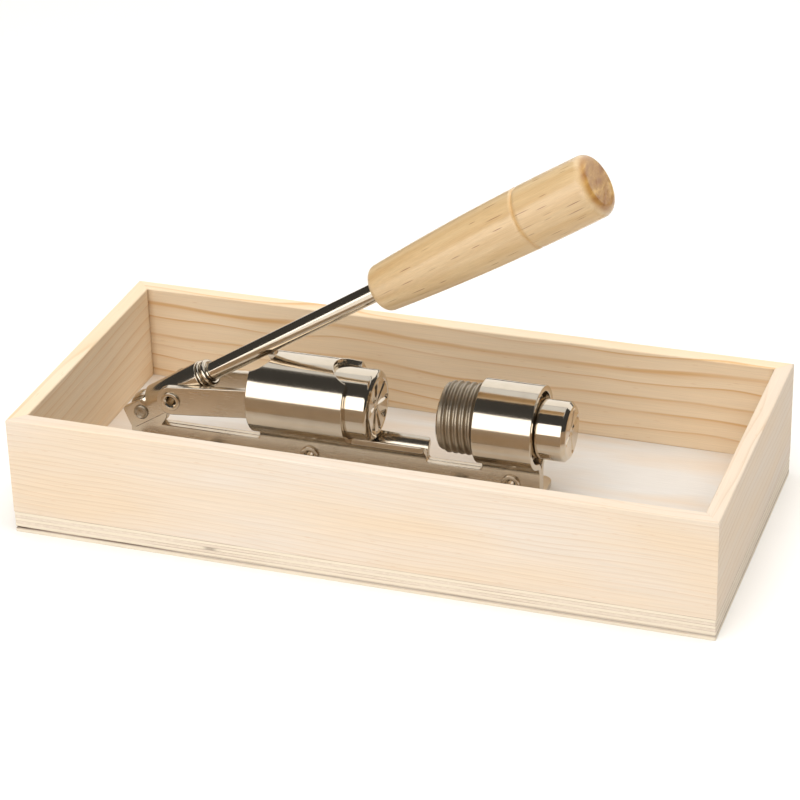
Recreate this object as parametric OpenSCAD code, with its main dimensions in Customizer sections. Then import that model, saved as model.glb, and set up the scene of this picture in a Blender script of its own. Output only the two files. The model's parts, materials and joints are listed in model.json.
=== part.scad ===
// Lever nutcracker screwed to the floor of an open wooden tray.
// X runs along the tray, Y to its back and Z up; the origin is the middle of the tray's underside.
// The lever lies down at rest. Its yoke turns on a lug of the bracket and works a plunger through
// two link plates. A threaded anvil faces the plunger and sets the room for the nut.

/* [Tray] */
// Length over the end boards
tray_length = 340; // [320:1:420]
// Width over the side boards
tray_width = 158; // [110:1:220]
// Height of the tray with its bottom
tray_height = 60; // [40:1:75]
// Thickness of the four pine boards
board_thickness = 8; // [6:0.5:12]
// Thickness of the plywood bottom
bottom_thickness = 10.6; // [9:0.2:15]

/* [Bracket] */
// Thickness of the rolled sheet
sheet = 3; // [2.4:0.1:3.4]
// Outer diameter of both collars
collar_diameter = 40.7; // [36:0.1:50]
// Height of the collars' axis over the tray floor
axis_height = 39.8; // [36:0.1:50]
// Length of the plunger's collar
rear_collar_length = 48.6; // [40:0.1:60]
// Length of the anvil's collar
front_collar_length = 28.6; // [20:0.1:40]
// Clear distance between the two collars
collar_gap = 63.9; // [55:0.1:80]
// Where the plunger's collar ends, from the middle of the tray
collar_end = -25; // [-40:0.5:0]
// Length of the trough that carries the nut
cradle_length = 36; // [20:0.1:45]
// Width of the trough
cradle_width = 13.4; // [10:0.1:14]
// Width of the finger scoops in the plunger's collar
scoop_width = 23.4; // [16:0.1:26]
// Depth of the finger scoops
scoop_depth = 9.4; // [5:0.1:12]
// Height of the web's free edge over the tray floor
web_height = 14.4; // [10:0.1:15.4]
// Reach of the feet from the middle plane
foot_reach = 18; // [15:0.1:24]
// Outside radius where the collars flare into the web
flare_radius = 5; // [3:0.1:6]

/* [Lever] */
// Rise of the lever at rest, in degrees
lever_rise = 32.3; // [28:0.1:40]
// Distance of the lever's pivot behind the plunger's collar
pivot_setback = 60; // [55:0.1:75]
// Drop of the lever's pivot below the collars' axis
pivot_drop = 17.2; // [14:0.1:20]
// Distance from the lever's pivot to the link rivet
crank = 20.2; // [18:0.1:24]
// Turn of the link rivet from the rod's direction, in degrees
crank_turn = -2.7; // [-6:0.1:4]
// Thickness of the yoke's sheet
yoke_sheet = 2.2; // [1.6:0.1:2.6]
// Outer width of the yoke
yoke_width = 15.2; // [14:0.1:17]
// Distance from the pivot to the end of the yoke's sleeve
yoke_length = 37.5; // [34:0.1:50]
// Diameter of the lever's rod
rod_diameter = 9; // [7:0.1:10]
// Distance from the pivot to the near end of the handle
handle_start = 145.6; // [120:0.1:180]
// Length of the handle
handle_length = 124.4; // [90:0.1:150]
// Largest diameter of the handle
handle_diameter = 30.3; // [24:0.1:38]
// Diameter of the handle at its near end
handle_neck = 22.6; // [18:0.1:23]

/* [Linkage] */
// Distance between the two pivots of a link plate
link_length = 74.6; // [70:0.1:84]
// Height of the link plates
link_height = 15; // [13:0.1:16]
// Thickness of the link plates
link_sheet = 3; // [2:0.1:3.2]
// Play of a link plate's far hole round the plunger's pin
link_play = 1.95; // [1.9:0.05:2.1]

/* [Plunger and anvil] */
// Radial clearance of the plunger and the anvil in their collars
slide_clearance = 0.1; // [0.05:0.01:0.1]
// Length of the plunger
plunger_length = 44; // [40:0.1:50]
// How far the plunger stands out of its collar
plunger_reach = 12.1; // [8:0.1:14]
// Gap between the plunger and the anvil at rest
jaw_gap = 32.8; // [30:0.1:38]
// Length of the anvil's threaded part
thread_length = 45; // [38:0.1:48]
// Pitch of the anvil's thread
thread_pitch = 3.2; // [2:0.1:4]
// Diameter of the anvil's smooth end
stem_diameter = 28.8; // [22:0.1:30]
// Length of the anvil's smooth end
stem_length = 17.4; // [14:0.1:26]

/* [Hidden] */
$fn = 96;
wood = [0.93, 0.85, 0.70];
birch = [0.90, 0.80, 0.64];
beech = [0.89, 0.75, 0.52];
nickel = [0.76, 0.72, 0.66];
steel = [0.66, 0.64, 0.61];
over = 0.5;  // how far a cutter runs past what it cuts

// Collars, web and feet
floor_z = bottom_thickness;
axis_z = floor_z + axis_height;
collar_r = collar_diameter / 2;
bore_r = collar_r - sheet;
rear_x = collar_end - rear_collar_length;
anvil_x = collar_end + collar_gap;
front_x = anvil_x + front_collar_length;
flare_y = sheet + flare_radius;
flare_z = axis_z - sqrt(pow(collar_r + flare_radius, 2) - pow(flare_y, 2));
bend_r = 1.5;  // inside radius of the bend from web to foot
foot_corner = 5;
bracket_x = rear_x - pivot_setback - 8;
web_clear = flare_z - floor_z - sheet;  // flat height of the web, which has to hold the rivets' heads
rivet_r = min(4.7, 0.37 * web_clear);
rivet_z = min(floor_z + 9.6, flare_z - 1.3 * rivet_r);
rivet_shank_r = 0.55 * rivet_r;
rivet_bore = 0.32 * rivet_r;
rivet_x = [rear_x + 25.6, anvil_x + 14.2];
screw_x = [rear_x - 26.4, anvil_x - 14];
screw_y = (sheet + foot_reach) / 2 + 0.8;
screw_head_r = 3.4;
screw_head_h = 2.1;
screw_shank_r = 1.6;
screw_length = min(8.2, bottom_thickness - 2);
clear = 0.3;  // gap between curved faces that must not meet
play = 0.06;  // radial play of a pin in its hole
gap = 0.2;  // gap between flat faces that slide past each other

// Lever, drawn along its own axis from its pivot and then raised
pin_r = 2.5;
pin_head_r = 3.7;
pin_head_h = 1.2;
lug_r = 7.4;
lug_foot_r = 11.8;
lever_x = rear_x - pivot_setback;
lever_z = axis_z - pivot_drop;
rod_v = 0.7;  // height of the rod's axis over the pivot, square to the lever
yoke_r = yoke_width / 2;
yoke_in = yoke_r - yoke_sheet;
yoke_web_start = 6;
yoke_close = yoke_length - 10;
yoke_drop = 5.8;
collar_ring_r = yoke_r - 0.3;
collar_ring_h = 2.6;
rod_r = rod_diameter / 2;
rod_hold = 60;  // how far the rod reaches into the handle
rod_room = 1.8;  // room under the rod where it lies down in the collar's rear scoop
rod_start = yoke_close + 0.5;
handle_end = handle_start + handle_length;
handle_r = handle_diameter / 2;
neck_r = handle_neck / 2;
groove_at = 0.69 * handle_length;
widest_at = 0.8 * handle_length;
round_near = 2.6;
round_far = 3.4;

rod_under = axis_z + collar_r + rod_room - lever_z - (rod_v - rod_r) / cos(lever_rise);
rear_scoop = max(scoop_depth, rod_under / tan(lever_rise) - pivot_setback);

// Linkage
crank_dir = lever_rise + crank_turn;
link_x = lever_x + crank * cos(crank_dir);
link_z = lever_z + crank * sin(crank_dir);
link_rise = asin((axis_z - link_z) / link_length);
wrist_x = link_x + link_length * cos(link_rise);
link_y = yoke_r + gap;
tube_r = 3;
tube_bore = 1.9;
tube_head_r = 4.5;
tube_head_h = 0.9;
wrist_r = 2.5;
hole_back = 0.3;  // the far hole's offset, so that its play is shared over the lift
hole_drop = 1.65;
link_end_r = wrist_r + link_play + 1.9;
spacer_r = link_end_r - 0.4;

// Plunger and anvil
slide_r = bore_r - slide_clearance;
plunger_face = collar_end + plunger_reach;
plunger_back = plunger_face - plunger_length;
cup_wall = 2.4;
cup_end = wrist_x + link_end_r + link_play + 1.2;
jaw_face = plunger_face + jaw_gap;
stem_x = jaw_face + thread_length;
stem_end = stem_x + stem_length;
stem_r = stem_diameter / 2;
thread_depth = 1.1;
face_dish = 1.8;
star_cuts = 8;

// Runs a section drawn in (Y, Z) along X
module along_x(start, length) {
    translate([start, 0, 0]) rotate([90, 0, 90]) linear_extrude(length) children();
}

// Runs an outline drawn in (X, Z) through Y, from one side to the other
module across_y(from, to) {
    translate([0, to, 0]) rotate([90, 0, 0]) linear_extrude(to - from) children();
}

// A round bar across Y, drawn at the XZ origin
module bar_y(r, from, to) {
    translate([0, to, 0]) rotate([90, 0, 0]) cylinder(r = r, h = to - from);
}

// Turns a profile, drawn as (radius, distance), round an axis along X
module turned_x() {
    rotate([0, 90, 0]) rotate_extrude() children();
}

// Places something drawn at the lever's pivot, along +X, where the lever rests
module on_lever() {
    translate([lever_x, 0, lever_z]) rotate([0, -lever_rise, 0]) children();
}

// Places something drawn on the link plate's centre line where the links rest
module on_link() {
    translate([link_x, 0, link_z]) rotate([0, -link_rise, 0]) children();
}

module both_sides() {
    children();
    mirror([0, 1, 0]) children();
}

// ---- Tray ----

// A board with mitred ends, drawn along X with its outer face on Y = 0
module mitred_board(length) {
    translate([0, 0, bottom_thickness]) linear_extrude(tray_height - bottom_thickness)
        polygon([[-length / 2, 0], [length / 2, 0],
            [length / 2 - board_thickness, board_thickness],
            [-length / 2 + board_thickness, board_thickness]]);
}

module tray_front() {
    color(wood) translate([0, -tray_width / 2, 0]) mitred_board(tray_length);
}

module tray_back() {
    color(wood) translate([0, tray_width / 2, 0]) rotate([0, 0, 180]) mitred_board(tray_length);
}

module tray_left() {
    color(wood) translate([-tray_length / 2, 0, 0]) rotate([0, 0, -90]) mitred_board(tray_width);
}

module tray_right() {
    color(wood) translate([tray_length / 2, 0, 0]) rotate([0, 0, 90]) mitred_board(tray_width);
}

module tray_bottom() {
    color(birch) difference() {
        translate([-tray_length / 2, -tray_width / 2, 0])
            cube([tray_length, tray_width, bottom_thickness]);
        at_screws() translate([0, 0, floor_z - screw_length])
            cylinder(r = screw_shank_r, h = screw_length + over);
    }
}

// ---- Bracket ----

// Cuts a flare's round out of a block, on both sides
module flare_circles(r) {
    for (s = [-1, 1]) translate([s * flare_y, flare_z]) circle(r);
}

// Points where a circle round the collar's axis meets a line to a flare's centre
function on_flare(r) = [flare_y * r / (collar_r + flare_radius),
    axis_z - (axis_z - flare_z) * r / (collar_r + flare_radius)];

// The bore of a collar with the crease where the sheet folds into the web
module bore_section() {
    translate([0, axis_z]) circle(bore_r);
    in = on_flare(bore_r);
    difference() {
        polygon([[0, flare_z], in, [0, axis_z], [-in[0], in[1]]]);
        flare_circles(flare_y);
    }
}

// Web, with a foot bent out to each side at its base
module web_section(top) {
    translate([-sheet, floor_z + sheet]) square([2 * sheet, top - floor_z - sheet]);
    difference() {
        translate([-foot_reach, floor_z]) square([2 * foot_reach, sheet + bend_r]);
        for (s = [-1, 1]) {
            translate([s * (sheet + bend_r), floor_z + sheet + bend_r]) circle(bend_r);
            translate([s * (sheet + bend_r + foot_reach / 2), floor_z + sheet + foot_reach / 2])
                square(foot_reach, center = true);
        }
    }
}

// Sheet that leaves the web and spreads into the collar
module flare_section() {
    out = on_flare(collar_r);
    difference() {
        polygon([[-flare_y, flare_z], [flare_y, flare_z], out, [-out[0], out[1]]]);
        flare_circles(flare_radius);
    }
}

module collar_section() {
    difference() {
        union() {
            translate([0, axis_z]) circle(collar_r);
            flare_section();
        }
        bore_section();
    }
}

module cradle_section() {
    intersection() {
        collar_section();
        translate([-cradle_width / 2, flare_z]) square([cradle_width, axis_z - flare_z]);
    }
}

// The lug that carries the lever, rounded about the lever's pivot
module lug_outline() {
    translate([lever_x, lever_z]) circle(lug_r);
    translate([lever_x - lug_r, floor_z + sheet]) square([2 * lug_r, lever_z - floor_z - sheet]);
    intersection() {
        translate([lever_x, lever_z]) circle(lug_foot_r);
        translate([lever_x, lever_z - lug_foot_r]) square(lug_foot_r);
    }
}

// A U-shaped scoop in the top of a collar, opening towards the given side
module scoop(x, side, depth) {
    r = scoop_width / 2;
    translate([x, 0, axis_z]) mirror([side < 0 ? 1 : 0, 0, 0]) translate([r - depth, 0, 0]) {
        cylinder(r = r, h = collar_r + over);
        translate([0, -r, 0]) cube([max(0, depth - r) + over, scoop_width, collar_r + over]);
    }
}

module foot_plan() {
    plan_x = front_x - bracket_x;
    for (x = [bracket_x + foot_corner, front_x - foot_corner])
        for (y = [-1, 1]) translate([x, y * (foot_reach - foot_corner)]) circle(foot_corner);
    translate([bracket_x + foot_corner, -foot_reach]) square([plan_x - 2 * foot_corner, 2 * foot_reach]);
    translate([bracket_x, -foot_reach + foot_corner]) square([plan_x, 2 * (foot_reach - foot_corner)]);
}

module at_screws() {
    for (x = screw_x) for (s = [-1, 1]) translate([x, s * screw_y, 0]) children();
}

module bracket() {
    color(nickel) difference() {
        union() {
            intersection() {
                along_x(bracket_x, front_x - bracket_x) web_section(floor_z + web_height);
                translate([0, 0, floor_z - over]) linear_extrude(axis_height) foot_plan();
            }
            along_x(rear_x, collar_end + cradle_length - rear_x) web_section(flare_z);
            along_x(anvil_x, front_collar_length - foot_corner) web_section(flare_z);
            along_x(anvil_x, front_collar_length)
                translate([-sheet, floor_z + sheet]) square([2 * sheet, flare_z - floor_z - sheet]);
            along_x(rear_x, rear_collar_length) collar_section();
            along_x(collar_end, cradle_length) cradle_section();
            along_x(anvil_x, front_collar_length) collar_section();
            across_y(-sheet, sheet) lug_outline();
        }
        scoop(collar_end, 1, scoop_depth);
        scoop(rear_x, -1, rear_scoop);
        translate([lever_x, 0, lever_z]) bar_y(pin_r + play, -sheet - over, sheet + over);
        for (x = rivet_x)
            translate([x, 0, rivet_z]) bar_y(rivet_shank_r, -sheet - over, sheet + over);
        at_screws() translate([0, 0, floor_z - over])
            cylinder(r = screw_shank_r + clear, h = sheet + 2 * over);
    }
}

// A hollow rivet across Y with a rolled head on each side
module hollow_rivet(half_grip, r, bore, head_r, head_h) {
    rotate([90, 0, 0]) rotate_extrude()
        polygon([[bore, -half_grip - head_h], [head_r - head_h, -half_grip - head_h],
            [head_r, -half_grip - head_h / 2], [head_r, -half_grip], [r, -half_grip],
            [r, half_grip], [head_r, half_grip], [head_r, half_grip + head_h / 2],
            [head_r - head_h, half_grip + head_h], [bore, half_grip + head_h]]);
}

module web_rivets() {
    color(nickel) for (x = rivet_x) translate([x, 0, rivet_z])
        hollow_rivet(sheet, rivet_shank_r, rivet_bore, rivet_r, 1.4);
}

// Pan-head wood screws with a cross recess
module foot_screws() {
    color(steel) at_screws() translate([0, 0, floor_z + sheet]) difference() {
        union() {
            rotate_extrude() polygon([[0, 0], [screw_head_r, 0], [screw_head_r, screw_head_h * 0.4],
                [screw_head_r * 0.7, screw_head_h], [0, screw_head_h]]);
            translate([0, 0, -sheet - screw_length + 2]) cylinder(r = screw_shank_r, h = sheet + screw_length - 2);
            translate([0, 0, -sheet - screw_length]) cylinder(r1 = 0.2, r2 = screw_shank_r, h = 2);
        }
        for (turn = [0, 90]) rotate([0, 0, turn])
            translate([-1.7, -0.4, screw_head_h - 1.1]) cube([3.4, 0.8, 1.1 + over]);
    }
}

// ---- Lever ----

// Both cheeks of the yoke, with ears that run past the web and straddle the lug
module yoke_cheek_outline() {
    polygon([[-9.6, -4.4], [-7.4, -yoke_drop], [yoke_close - 5, -yoke_drop], [yoke_close, rod_v - yoke_in],
        [yoke_close, rod_v], [yoke_web_start, rod_v + yoke_in * 0.45], [yoke_web_start - 1.5, 5.6],
        [-6.6, 6], [-8, 5]]);
}

module yoke_shell(from, to, r) {
    translate([from, 0, rod_v]) rotate([0, 90, 0]) cylinder(r = r, h = to - from);
}

module yoke() {
    color(nickel) on_lever() difference() {
        union() {
            both_sides() across_y(yoke_in, yoke_r) yoke_cheek_outline();
            intersection() {
                yoke_shell(yoke_web_start, yoke_close, yoke_r);
                translate([yoke_web_start, -yoke_r, rod_v]) cube([yoke_close, yoke_width, yoke_r]);
            }
            yoke_shell(yoke_close, yoke_length, yoke_r);
        }
        yoke_shell(yoke_web_start - over, yoke_length + over, yoke_in);
        bar_y(pin_r, -yoke_r - over, yoke_r + over);
        rotate([0, -crank_turn, 0]) translate([crank, 0, 0]) bar_y(tube_r, -yoke_r - over, yoke_r + over);
    }
}

// Bush that holds the rod in the yoke's sleeve and ends in two rolled rings
module rod_collar() {
    ring = [[0, 0], [0.5, 0.8], [1.3, 1.1], [2.1, 0.8], [2.6, 0]];
    color(nickel) on_lever() translate([yoke_length, 0, rod_v]) turned_x()
        polygon(concat([[rod_r, -7], [yoke_in, -7], [yoke_in, 0]],
            [for (n = [0, 1]) for (p = ring) [collar_ring_r - 1.1 - n * 0.5 + p[1], n * collar_ring_h + p[0]]],
            [[rod_r, 2 * collar_ring_h]]));
}

module rod() {
    color(nickel) on_lever() translate([rod_start, 0, rod_v]) rotate([0, 90, 0])
        cylinder(r = rod_r, h = handle_start + rod_hold - rod_start);
}

// Radius of the handle's barrel at a distance from its near end
function barrel_r(at) = handle_r - (handle_r - neck_r) * pow((widest_at - at) / widest_at, 2);

module handle() {
    steps = 24;
    lip = 0.8;
    near = [for (a = [0:15:90]) [barrel_r(round_near) - round_near + round_near * sin(a),
        round_near - round_near * cos(a)]];
    far = [for (a = [90:-15:0]) [barrel_r(handle_length - round_far) - round_far + round_far * sin(a),
        handle_length - round_far + round_far * cos(a)]];
    barrel = [for (i = [1:steps - 1]) let (at = round_near + i * (handle_length - round_near - round_far) / steps)
        if (abs(at - groove_at) > 2 * lip) [barrel_r(at), at]];
    before = [for (p = barrel) if (p[1] < groove_at) p];
    after = [for (p = barrel) if (p[1] > groove_at) p];
    groove = [[barrel_r(groove_at), groove_at - lip], [barrel_r(groove_at) - lip, groove_at],
        [barrel_r(groove_at), groove_at + lip]];
    color(beech) on_lever() translate([handle_start, 0, rod_v]) turned_x()
        polygon(concat([[rod_r, 0]], near, before, groove, after, far,
            [[0, handle_length], [0, rod_hold], [rod_r, rod_hold]]));
}

module pivot_pin() {
    color(steel) on_lever() {
        bar_y(pin_r, -yoke_r, yoke_r);
        both_sides() translate([0, yoke_r, 0]) rotate([-90, 0, 0]) rotate_extrude()
            polygon([[0, 0], [pin_head_r, 0], [pin_head_r, pin_head_h * 0.4],
                [pin_head_r * 0.75, pin_head_h], [0, pin_head_h]]);
    }
}

module pivot_washers() {
    color(steel) on_lever() both_sides() difference() {
        bar_y(lug_r - 1.2, sheet + gap / 2, yoke_in - gap / 2);
        bar_y(pin_r + play, 0, yoke_in + over);
    }
}

module link_rivet() {
    color(nickel) on_lever() rotate([0, -crank_turn, 0]) translate([crank, 0, 0])
        hollow_rivet(link_y + link_sheet + gap / 2, tube_r, tube_bore, tube_head_r, tube_head_h);
}

// ---- Links ----

// A link plate: straight where it shows, tapering inside the collar to the plunger's pin
module link_outline() {
    taper = link_length * 0.62;
    half = link_height / 2;
    hole = [link_length - hole_back, -hole_drop];
    difference() {
        union() {
            circle(half);
            polygon([[0, -half], [taper, -half], [hole[0], hole[1] - link_end_r],
                [hole[0], hole[1] + link_end_r], [taper, half], [0, half]]);
            translate(hole) circle(link_end_r);
        }
        circle(tube_r + play);
        translate(hole) circle(wrist_r + link_play);
    }
}

module link_near() {
    color(nickel) on_link() across_y(-link_y - link_sheet, -link_y) link_outline();
}

module link_far() {
    color(nickel) on_link() across_y(link_y, link_y + link_sheet) link_outline();
}

// ---- Plunger and anvil ----

// Radial cuts that grip the shell, in a face on X = 0 that looks along +X
module star(r) {
    for (i = [0:star_cuts - 1]) rotate([i * 360 / star_cuts, 0, 0])
        translate([-face_dish - 0.7, -0.5, 1.5]) cube([face_dish + 1, 1, r - 1.5]);
}

module plunger() {
    rim = slide_r - 3.3;
    color(nickel) difference() {
        translate([plunger_back, 0, axis_z]) turned_x()
            polygon([[slide_r - cup_wall, 0], [slide_r - 0.6, 0], [slide_r, 0.6],
                [slide_r, plunger_length - 2.6], [slide_r - 0.9, plunger_length - 1.1],
                [rim, plunger_length], [rim - 1, plunger_length],
                [0, plunger_length - face_dish], [0, cup_end - plunger_back],
                [slide_r - cup_wall, cup_end - plunger_back]]);
        translate([plunger_face, 0, axis_z]) star(rim - 0.6);
        translate([wrist_x, 0, axis_z]) bar_y(wrist_r, -slide_r - over, slide_r + over);
    }
}

module wrist_pin() {
    half = sqrt(slide_r * slide_r - wrist_r * wrist_r) - 0.2;
    color(steel) translate([wrist_x, 0, axis_z]) bar_y(wrist_r, -half, half);
}

module wrist_spacer() {
    color(steel) translate([wrist_x, 0, axis_z]) difference() {
        bar_y(spacer_r, -link_y + gap, link_y - gap);
        bar_y(wrist_r, -link_y, link_y);
    }
}

module anvil() {
    turns = floor(thread_length / thread_pitch) - 1;
    start = (thread_length - turns * thread_pitch) / 2;
    root = slide_r - thread_depth;
    rim = root - 1.6;
    color(nickel) difference() {
        translate([jaw_face, 0, axis_z]) turned_x()
            polygon(concat([[0, face_dish], [rim - 1, 0], [rim, 0], [root, start * 0.6]],
                [for (i = [0:turns - 1]) let (at = start + i * thread_pitch) each
                    [[root, at], [slide_r, at + thread_pitch * 0.35],
                    [slide_r, at + thread_pitch * 0.55], [root, at + thread_pitch * 0.9]]],
                [[root, thread_length - 1], [root - 1, thread_length], [stem_r, thread_length],
                [stem_r, thread_length + stem_length - 2.6], [stem_r - 2.6, thread_length + stem_length],
                [stem_r - 3.6, thread_length + stem_length],
                [0, thread_length + stem_length - face_dish / 2]]));
        translate([stem_end, 0, axis_z]) star(stem_r - 3);
        translate([jaw_face, 0, axis_z]) mirror([1, 0, 0]) star(rim - 0.6);
    }
}

tray_front();
tray_back();
tray_left();
tray_right();
tray_bottom();
bracket();
web_rivets();
foot_screws();
yoke();
rod_collar();
rod();
handle();
pivot_pin();
pivot_washers();
link_rivet();
link_near();
link_far();
plunger();
wrist_pin();
wrist_spacer();
anvil();
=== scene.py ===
"""Looks of a lever nutcracker in a wooden tray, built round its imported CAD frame.

It is laid out as an add-on with one operator for each piece or group of like pieces, and is run as a script.
Everything is in metres, in the CAD's own frame: X along the tray, Y to its back, Z up.
"""

import json
import math
import random

import bmesh
import bpy
from mathutils import Matrix, Vector, noise
from mathutils.geometry import tessellate_polygon


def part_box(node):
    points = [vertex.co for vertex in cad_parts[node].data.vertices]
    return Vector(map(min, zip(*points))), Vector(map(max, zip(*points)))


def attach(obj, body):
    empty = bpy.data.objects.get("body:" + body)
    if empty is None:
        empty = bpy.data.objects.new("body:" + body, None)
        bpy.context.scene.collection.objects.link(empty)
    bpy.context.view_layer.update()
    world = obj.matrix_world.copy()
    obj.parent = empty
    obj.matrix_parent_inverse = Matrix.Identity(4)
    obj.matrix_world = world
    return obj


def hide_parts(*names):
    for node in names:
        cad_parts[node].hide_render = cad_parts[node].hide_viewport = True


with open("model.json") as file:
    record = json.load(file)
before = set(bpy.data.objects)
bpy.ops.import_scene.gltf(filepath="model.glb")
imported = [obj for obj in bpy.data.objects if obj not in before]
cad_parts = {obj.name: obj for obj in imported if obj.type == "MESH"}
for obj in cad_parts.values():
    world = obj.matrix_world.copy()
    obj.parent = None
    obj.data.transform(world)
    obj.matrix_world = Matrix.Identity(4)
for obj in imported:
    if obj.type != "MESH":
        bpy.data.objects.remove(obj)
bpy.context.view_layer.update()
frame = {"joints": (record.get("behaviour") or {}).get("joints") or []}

bl_info = {
    "name": "Lever nutcracker",
    "version": (1, 0, 0),
    "blender": (4, 5, 0),
    "location": "3D View > Sidebar > Nutcracker",
    "description": "Builds a lever nutcracker in a wooden tray round its CAD frame",
    "category": "Object",
}

MM = 0.001
JOINTS = {joint["name"]: joint for joint in frame["joints"]}

# ---- Where the CAD frame puts things ----

TRAY_LOW, TRAY_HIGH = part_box("tray_bottom")
BOARD_LOW, BOARD_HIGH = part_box("tray_front")
BRACKET_LOW, BRACKET_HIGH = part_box("bracket")
ANVIL_LOW, ANVIL_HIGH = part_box("anvil")
PLUNGER_LOW, PLUNGER_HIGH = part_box("plunger")
WRIST_LOW, WRIST_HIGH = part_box("wrist_pin")
FLOOR_Z = TRAY_HIGH.z
AXIS_Z = (ANVIL_LOW.z + ANVIL_HIGH.z) / 2
COLLAR_R = BRACKET_HIGH.z - AXIS_Z
SLIDE_R = PLUNGER_HIGH.z - AXIS_Z
WRIST = (WRIST_LOW + WRIST_HIGH) / 2
PIVOT = Vector(JOINTS["lever"]["pos_m"])
CRANK = Vector(JOINTS["link"]["pos_m"])

# Sizes of the folded sheet that the frame's boxes don't give
SHEET = 3 * MM
BEND_R = 1.5 * MM
FLARE_R = 5 * MM
WEB_TOP = FLOOR_Z + 14.4 * MM
REAR = (-73.6 * MM, -25 * MM)
FRONT = (38.9 * MM, BRACKET_HIGH.x)
CRADLE_END = 11 * MM
CRADLE_HALF = 6.7 * MM
SCOOP_R = 11.7 * MM
SCOOP_DEPTH = 9.4 * MM
LUG_R = 7.4 * MM
LUG_FOOT_R = 11.8 * MM
RIVET_PLACES = [(-48 * MM, 20.2 * MM), (53.1 * MM, 20.2 * MM)]
SCREW_PLACES = [(-100 * MM, 11.3 * MM), (25.7 * MM, 11.3 * MM)]

# Lever, in its own axis: distance from the pivot, and height square to the rod
LEVER_RISE = math.radians(32.3)
ROD_V = 0.7 * MM
ROD_R = 4.5 * MM
YOKE_OUT = 7.6 * MM
YOKE_IN = 5.4 * MM
YOKE_WEB = 6 * MM
YOKE_CLOSE = 27.5 * MM
YOKE_END = 37.5 * MM
YOKE_DROP = 5.8 * MM
HANDLE_START = 145.6 * MM
HANDLE_LONG = 124.4 * MM
HANDLE_R = 15.15 * MM
NECK_R = 11.3 * MM

# Linkage
LINK_Y = 7.8 * MM
LINK_SHEET = 3 * MM
LINK_HALF = 7.5 * MM
LINK_LONG = 74.6 * MM
WRIST_R = 2.5 * MM

LEVER_PLACE = Matrix.Translation(PIVOT) @ Matrix.Rotation(-LEVER_RISE, 4, "Y")
AXIS_PLACE = Matrix.Translation((0, 0, AXIS_Z))


def linear(hex_colour):
    """Turns an sRGB hex colour into the linear values that shaders take."""
    values = [int(hex_colour[i:i + 2], 16) / 255 for i in (0, 2, 4)]
    return [v / 12.92 if v <= 0.04045 else ((v + 0.055) / 1.055) ** 2.4 for v in values]


def smooth(low, high, value):
    """Eases from 0 at low to 1 at high."""
    t = min(1.0, max(0.0, (value - low) / (high - low)))
    return t * t * (3 - 2 * t)


# ---- Sizes and colours that a user would change ----

def length(name, description, default):
    return bpy.props.FloatProperty(name=name, description=description, default=default,
                                   min=0, precision=5, subtype="DISTANCE", unit="LENGTH")


def power(name, description, default):
    return bpy.props.FloatProperty(name=name, description=description, default=default,
                                   min=0, subtype="POWER", unit="POWER")


def colour(name, description, default):
    return bpy.props.FloatVectorProperty(name=name, description=description, subtype="COLOR",
                                         size=3, min=0, max=1, default=linear(default))


class TraySettings(bpy.types.PropertyGroup):
    top_round: length("Top edge", "Radius of the sanded top edges of the boards", 0.9 * MM)
    corner_round: length("Lower edge", "Radius of the boards' lower edges", 0.35 * MM)
    ply_groove: length("Ply groove", "Depth of the glue lines between the plies", 0.16 * MM)
    plies: bpy.props.IntProperty(name="Plies", description="Plies in the bottom", default=7, min=3, max=13)
    pine: colour("Pine", "Early wood of the pine boards", "E6D8C8")
    late_wood: colour("Late wood", "Darker rings of the pine boards", "D9A765")
    ply: colour("Birch ply", "Face of the plywood", "DDD9D3")
    glue: colour("Glue line", "Lines between the plies", "8A5A36")


class MetalSettings(bpy.types.PropertyGroup):
    edge: length("Sheared edge", "Radius of the tumbled edges of the sheet", 0.45 * MM)
    thread_pitch: length("Thread pitch", "Pitch of the anvil's thread", 3.2 * MM)
    thread_depth: length("Thread depth", "Depth of the anvil's thread", 1.1 * MM)
    star_cuts: bpy.props.IntProperty(name="Star cuts", description="Radial cuts in each pressing face",
                                     default=8, min=3, max=24)
    nickel: colour("Nickel", "Bright nickel plate", "D5C9B7")
    nickel_dull: colour("Dull nickel", "Nickel plate on cut threads", "ADA18F")
    zinc: colour("Zinc", "Zinc plate on pins and screws", "B0A696")


class HandleSettings(bpy.types.PropertyGroup):
    groove_at: bpy.props.FloatProperty(name="Groove place",
                                       description="Place of the ring groove along the handle",
                                       default=0.69, min=0.1, max=0.9, subtype="FACTOR")
    groove: length("Groove", "Depth of the ring groove", 0.8 * MM)
    beech: colour("Beech", "Steamed beech under lacquer", "DCC093")
    fleck: colour("Fleck", "Ray flecks of the beech", "7E4E28")


class StageSettings(bpy.types.PropertyGroup):
    floor: colour("Floor", "Pale studio floor", "FAF9F7")
    lens: bpy.props.FloatProperty(name="Lens", description="Focal length on a 36 mm sensor, in millimetres",
                                  default=127.95, min=10, max=400)
    key: power("Front softbox", "Power of the large softbox in front", 18.2)
    top: power("Overhead fill", "Power of the fill light overhead", 58.5)
    back: power("Back panel", "Power of the pale panel behind", 24)
    canopy: power("Canopy", "Power of the dim grey panel above the object", 10)


# ---- Mesh code ----

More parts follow.
